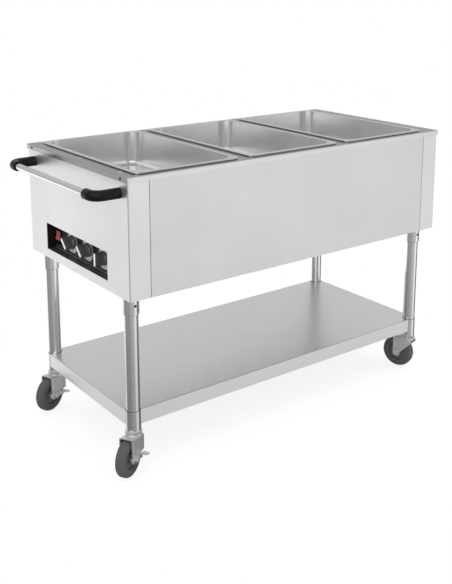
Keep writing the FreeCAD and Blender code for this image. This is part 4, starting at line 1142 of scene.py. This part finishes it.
@dataclass(frozen=True)
class Lamp:
    """One soft lamp."""

    name: str
    place: Place
    aim: Place
    size: float
    power: float
    mirrored: bool = True

    def build(self) -> None:
        """Adds the lamp to the scene."""
        data = bpy.data.lights.new(self.name, "AREA")
        data.shape = "DISK"
        data.size = self.size
        data.energy = self.power
        made = bpy.data.objects.new(self.name, data)
        made.location = self.place
        made.visible_glossy = self.mirrored
        made.rotation_mode = "QUATERNION"
        made.rotation_quaternion = (Vector(self.aim) - Vector(self.place)).to_track_quat("-Z", "Y")
        bpy.context.scene.collection.objects.link(made)
        LOG.info("lamp %s at %s", self.name, self.place)


@dataclass
class Studio:
    """Floor, surroundings, lamps and the camera at the photograph's angle.

    The walls are levels of light round the room, by degrees from the camera's side.
    """

    floor_radius: float = 0.85
    floor_steps: int = 96
    floor_tone: float = 0.8
    shadow_tone: float = 0.24
    floor_glow: float = 0.83
    matt_level: float = 0.62
    camera_way: Place = (-0.60, -0.80, 0.0)
    right_way: Place = (0.80, -0.60, 0.0)
    end_way: Place = (-0.60, 0.80, 0.0)
    far_way: Place = (0.8, 0.6, 0.0)
    end_shade: float = 0.20
    foot_level: float = 0.62
    foot_edges: Pair = (-0.50, -0.26)
    ground_level: float = 0.45
    ground_edges: Pair = (-0.95, -0.50)
    overhead_levels: Pair = (0.32, 0.58)
    overhead_sweep: Pair = (-0.7, 0.7)
    overhead_edges: Pair = (-0.05, 0.16)
    walls: tuple[Pair, ...] = (
        (-180.0, 1.00), (-150.0, 1.35), (-116.0, 1.35), (-104.0, 0.85), (-92.0, 0.42), (-75.0, 0.32),
        (-50.0, 0.40), (-25.0, 0.36), (0.0, 0.52), (30.0, 0.56), (48.0, 0.64), (58.0, 1.06),
        (88.0, 1.02), (98.0, 0.70), (106.0, 0.14), (138.0, 0.14), (150.0, 0.85), (180.0, 1.00),
    )
    image: tuple[int, int] = (452, 584)
    camera_place: Place = (-1.5795, -2.0882, 1.2821)
    yaw: float = -36.83
    pitch: float = -11.72
    focal_pixels: float = 889.4
    axis_row: float = 160.0
    sensor: float = 36.0
    clip: Pair = (0.05, 60.0)
    lamps: tuple[Lamp, ...] = (
        Lamp("key_lamp", (-2.4, -1.8, 2.6), aim=(0.0, 0.0, 0.45), size=4.8, power=45.0),
        Lamp("top_lamp", (0.4, 0.6, 3.2), aim=(0.0, 0.0, 0.5), size=4.2, power=42.0, mirrored=False),
        Lamp("fill_lamp", (2.4, -1.6, 1.6), aim=(0.0, 0.0, 0.45), size=2.4, power=15.0, mirrored=False),
    )

    @staticmethod
    def split(graph: Graph, camera: Node, gloss: Node, rest: Node) -> Socket:
        """Picks a shader by the kind of ray.

        Args:
            graph: Helper for the tree's nodes.
            camera: The shader the camera sees.
            gloss: The shader that reflections and clear surfaces see.
            rest: The shader that lights matt surfaces.

        Returns:
            The shader socket.
        """
        path = graph.node("LightPath")
        shiny = graph.math("MAXIMUM", path.outputs["Is Glossy Ray"], path.outputs["Is Transmission Ray"])
        first = graph.node("MixShader")
        second = graph.node("MixShader")
        for mix, factor, low, high in (
            (first, shiny, rest, gloss),
            (second, path.outputs["Is Camera Ray"], first, camera),
        ):
            graph.link(factor, mix.inputs[0])
            graph.link(low.outputs[0], mix.inputs[1])
            graph.link(high.outputs[0], mix.inputs[2])
        return second.outputs[0]

    def floor(self) -> None:
        """Adds the pale floor, which keeps a faint shadow and lets reflections see the walls."""
        mesh = bmesh.new()
        bmesh.ops.create_circle(mesh, cap_ends=True, segments=self.floor_steps, radius=self.floor_radius)
        made = Shop.piece("studio_floor", mesh)
        material = bpy.data.materials.new("pale_floor")
        graph = Graph(Graph.cleared(material))
        plain = graph.node("BsdfDiffuse", Color=(*grey(self.floor_tone), 1.0))
        shade = graph.node("BsdfDiffuse", Color=(*grey(self.shadow_tone), 1.0))
        glow = graph.node("Emission", Color=WHITE, Strength=self.floor_glow)
        shown = graph.node("AddShader")
        graph.link(shade.outputs[0], shown.inputs[0])
        graph.link(glow.outputs[0], shown.inputs[1])
        clear = graph.node("BsdfTransparent")
        out = graph.node("OutputMaterial")
        graph.link(self.split(graph, shown, clear, plain), out.inputs[0])
        made.data.materials.append(material)

    def room(self, graph: Graph) -> Socket:
        """Works out the light that reflections see: walls, darker low down, and what is overhead.

        Args:
            graph: Helper for the world's nodes.

        Returns:
            The level of light.
        """
        where = graph.node("TexCoord").outputs["Generated"]
        rise = graph.along(where, UP)
        right, ahead = (graph.along(where, way) for way in (self.right_way, self.camera_way))
        turn = graph.math("ARCTAN2", right, ahead)
        ramp = graph.node("ValToRGB")
        elements = ramp.color_ramp.elements
        while len(elements) < len(self.walls):
            elements.new(0.5)
        for element, (degrees, level) in zip(elements, self.walls):
            element.position = degrees / 360.0 + 0.5
            element.color = (*grey(level), 1.0)
        graph.link(graph.spread(turn, (0.0, 1.0), (-math.pi, math.pi)), ramp.inputs["Fac"])
        low = graph.spread(rise, (self.foot_level, 1.0), self.foot_edges, soft=True)
        deep = graph.spread(rise, (self.ground_level, 1.0), self.ground_edges, soft=True)
        side = graph.math("MULTIPLY", graph.math("MULTIPLY", ramp.outputs[0], low), deep)
        beyond = graph.math("MAXIMUM", graph.along(where, self.end_way), 0.0)
        lifted = graph.math("MULTIPLY_ADD", beyond, self.end_shade, rise)
        over = graph.spread(lifted, (0.0, 1.0), self.overhead_edges, soft=True)
        far = graph.along(where, self.far_way)
        dim = graph.spread(far, self.overhead_levels, self.overhead_sweep, soft=True)
        return graph.math("MULTIPLY_ADD", over, graph.math("SUBTRACT", dim, side), side)

    def surroundings(self) -> None:
        """Sets the studio: white for the camera, walls for reflections and an even light for the rest."""
        world = bpy.data.worlds.new("studio")
        bpy.context.scene.world = world
        graph = Graph(Graph.cleared(world))
        walls = graph.node("Background", Color=WHITE)
        graph.link(self.room(graph), walls.inputs["Strength"])
        plain = graph.node("Background", Color=WHITE, Strength=self.matt_level)
        white = graph.node("Background", Color=WHITE, Strength=1.0)
        out = graph.node("OutputWorld")
        graph.link(self.split(graph, white, walls, plain), out.inputs[0])

    def camera(self) -> None:
        """Adds the camera that the photograph was taken with."""
        data = bpy.data.cameras.new("photo_camera")
        tall = self.image[1]
        data.sensor_width = self.sensor
        data.lens = self.focal_pixels / tall * self.sensor
        data.shift_y = -(tall / 2 - self.axis_row) / tall
        data.clip_start, data.clip_end = self.clip
        made = bpy.data.objects.new("photo_camera", data)
        made.location = self.camera_place
        made.rotation_euler = (math.radians(90.0 + self.pitch), 0.0, math.radians(self.yaw))
        bpy.context.scene.collection.objects.link(made)
        bpy.context.scene.camera = made

    def build(self) -> None:
        """Sets up the whole studio."""
        bpy.context.scene.view_settings.view_transform = "Standard"
        self.floor()
        self.surroundings()
        for lamp in self.lamps:
            lamp.build()
        self.camera()


def main() -> None:
    """Builds the studio and every sub-assembly in order."""
    logging.basicConfig(level=logging.INFO, format="%(name)s: %(message)s")
    Studio().build()
    wardrobe = Wardrobe()
    for part in (Body, Controls, PushHandle, Undercarriage, Casters, Fixings):
        part(wardrobe).build()
        LOG.info("%s done", part.__name__)


if __name__ == "__main__":
    main()
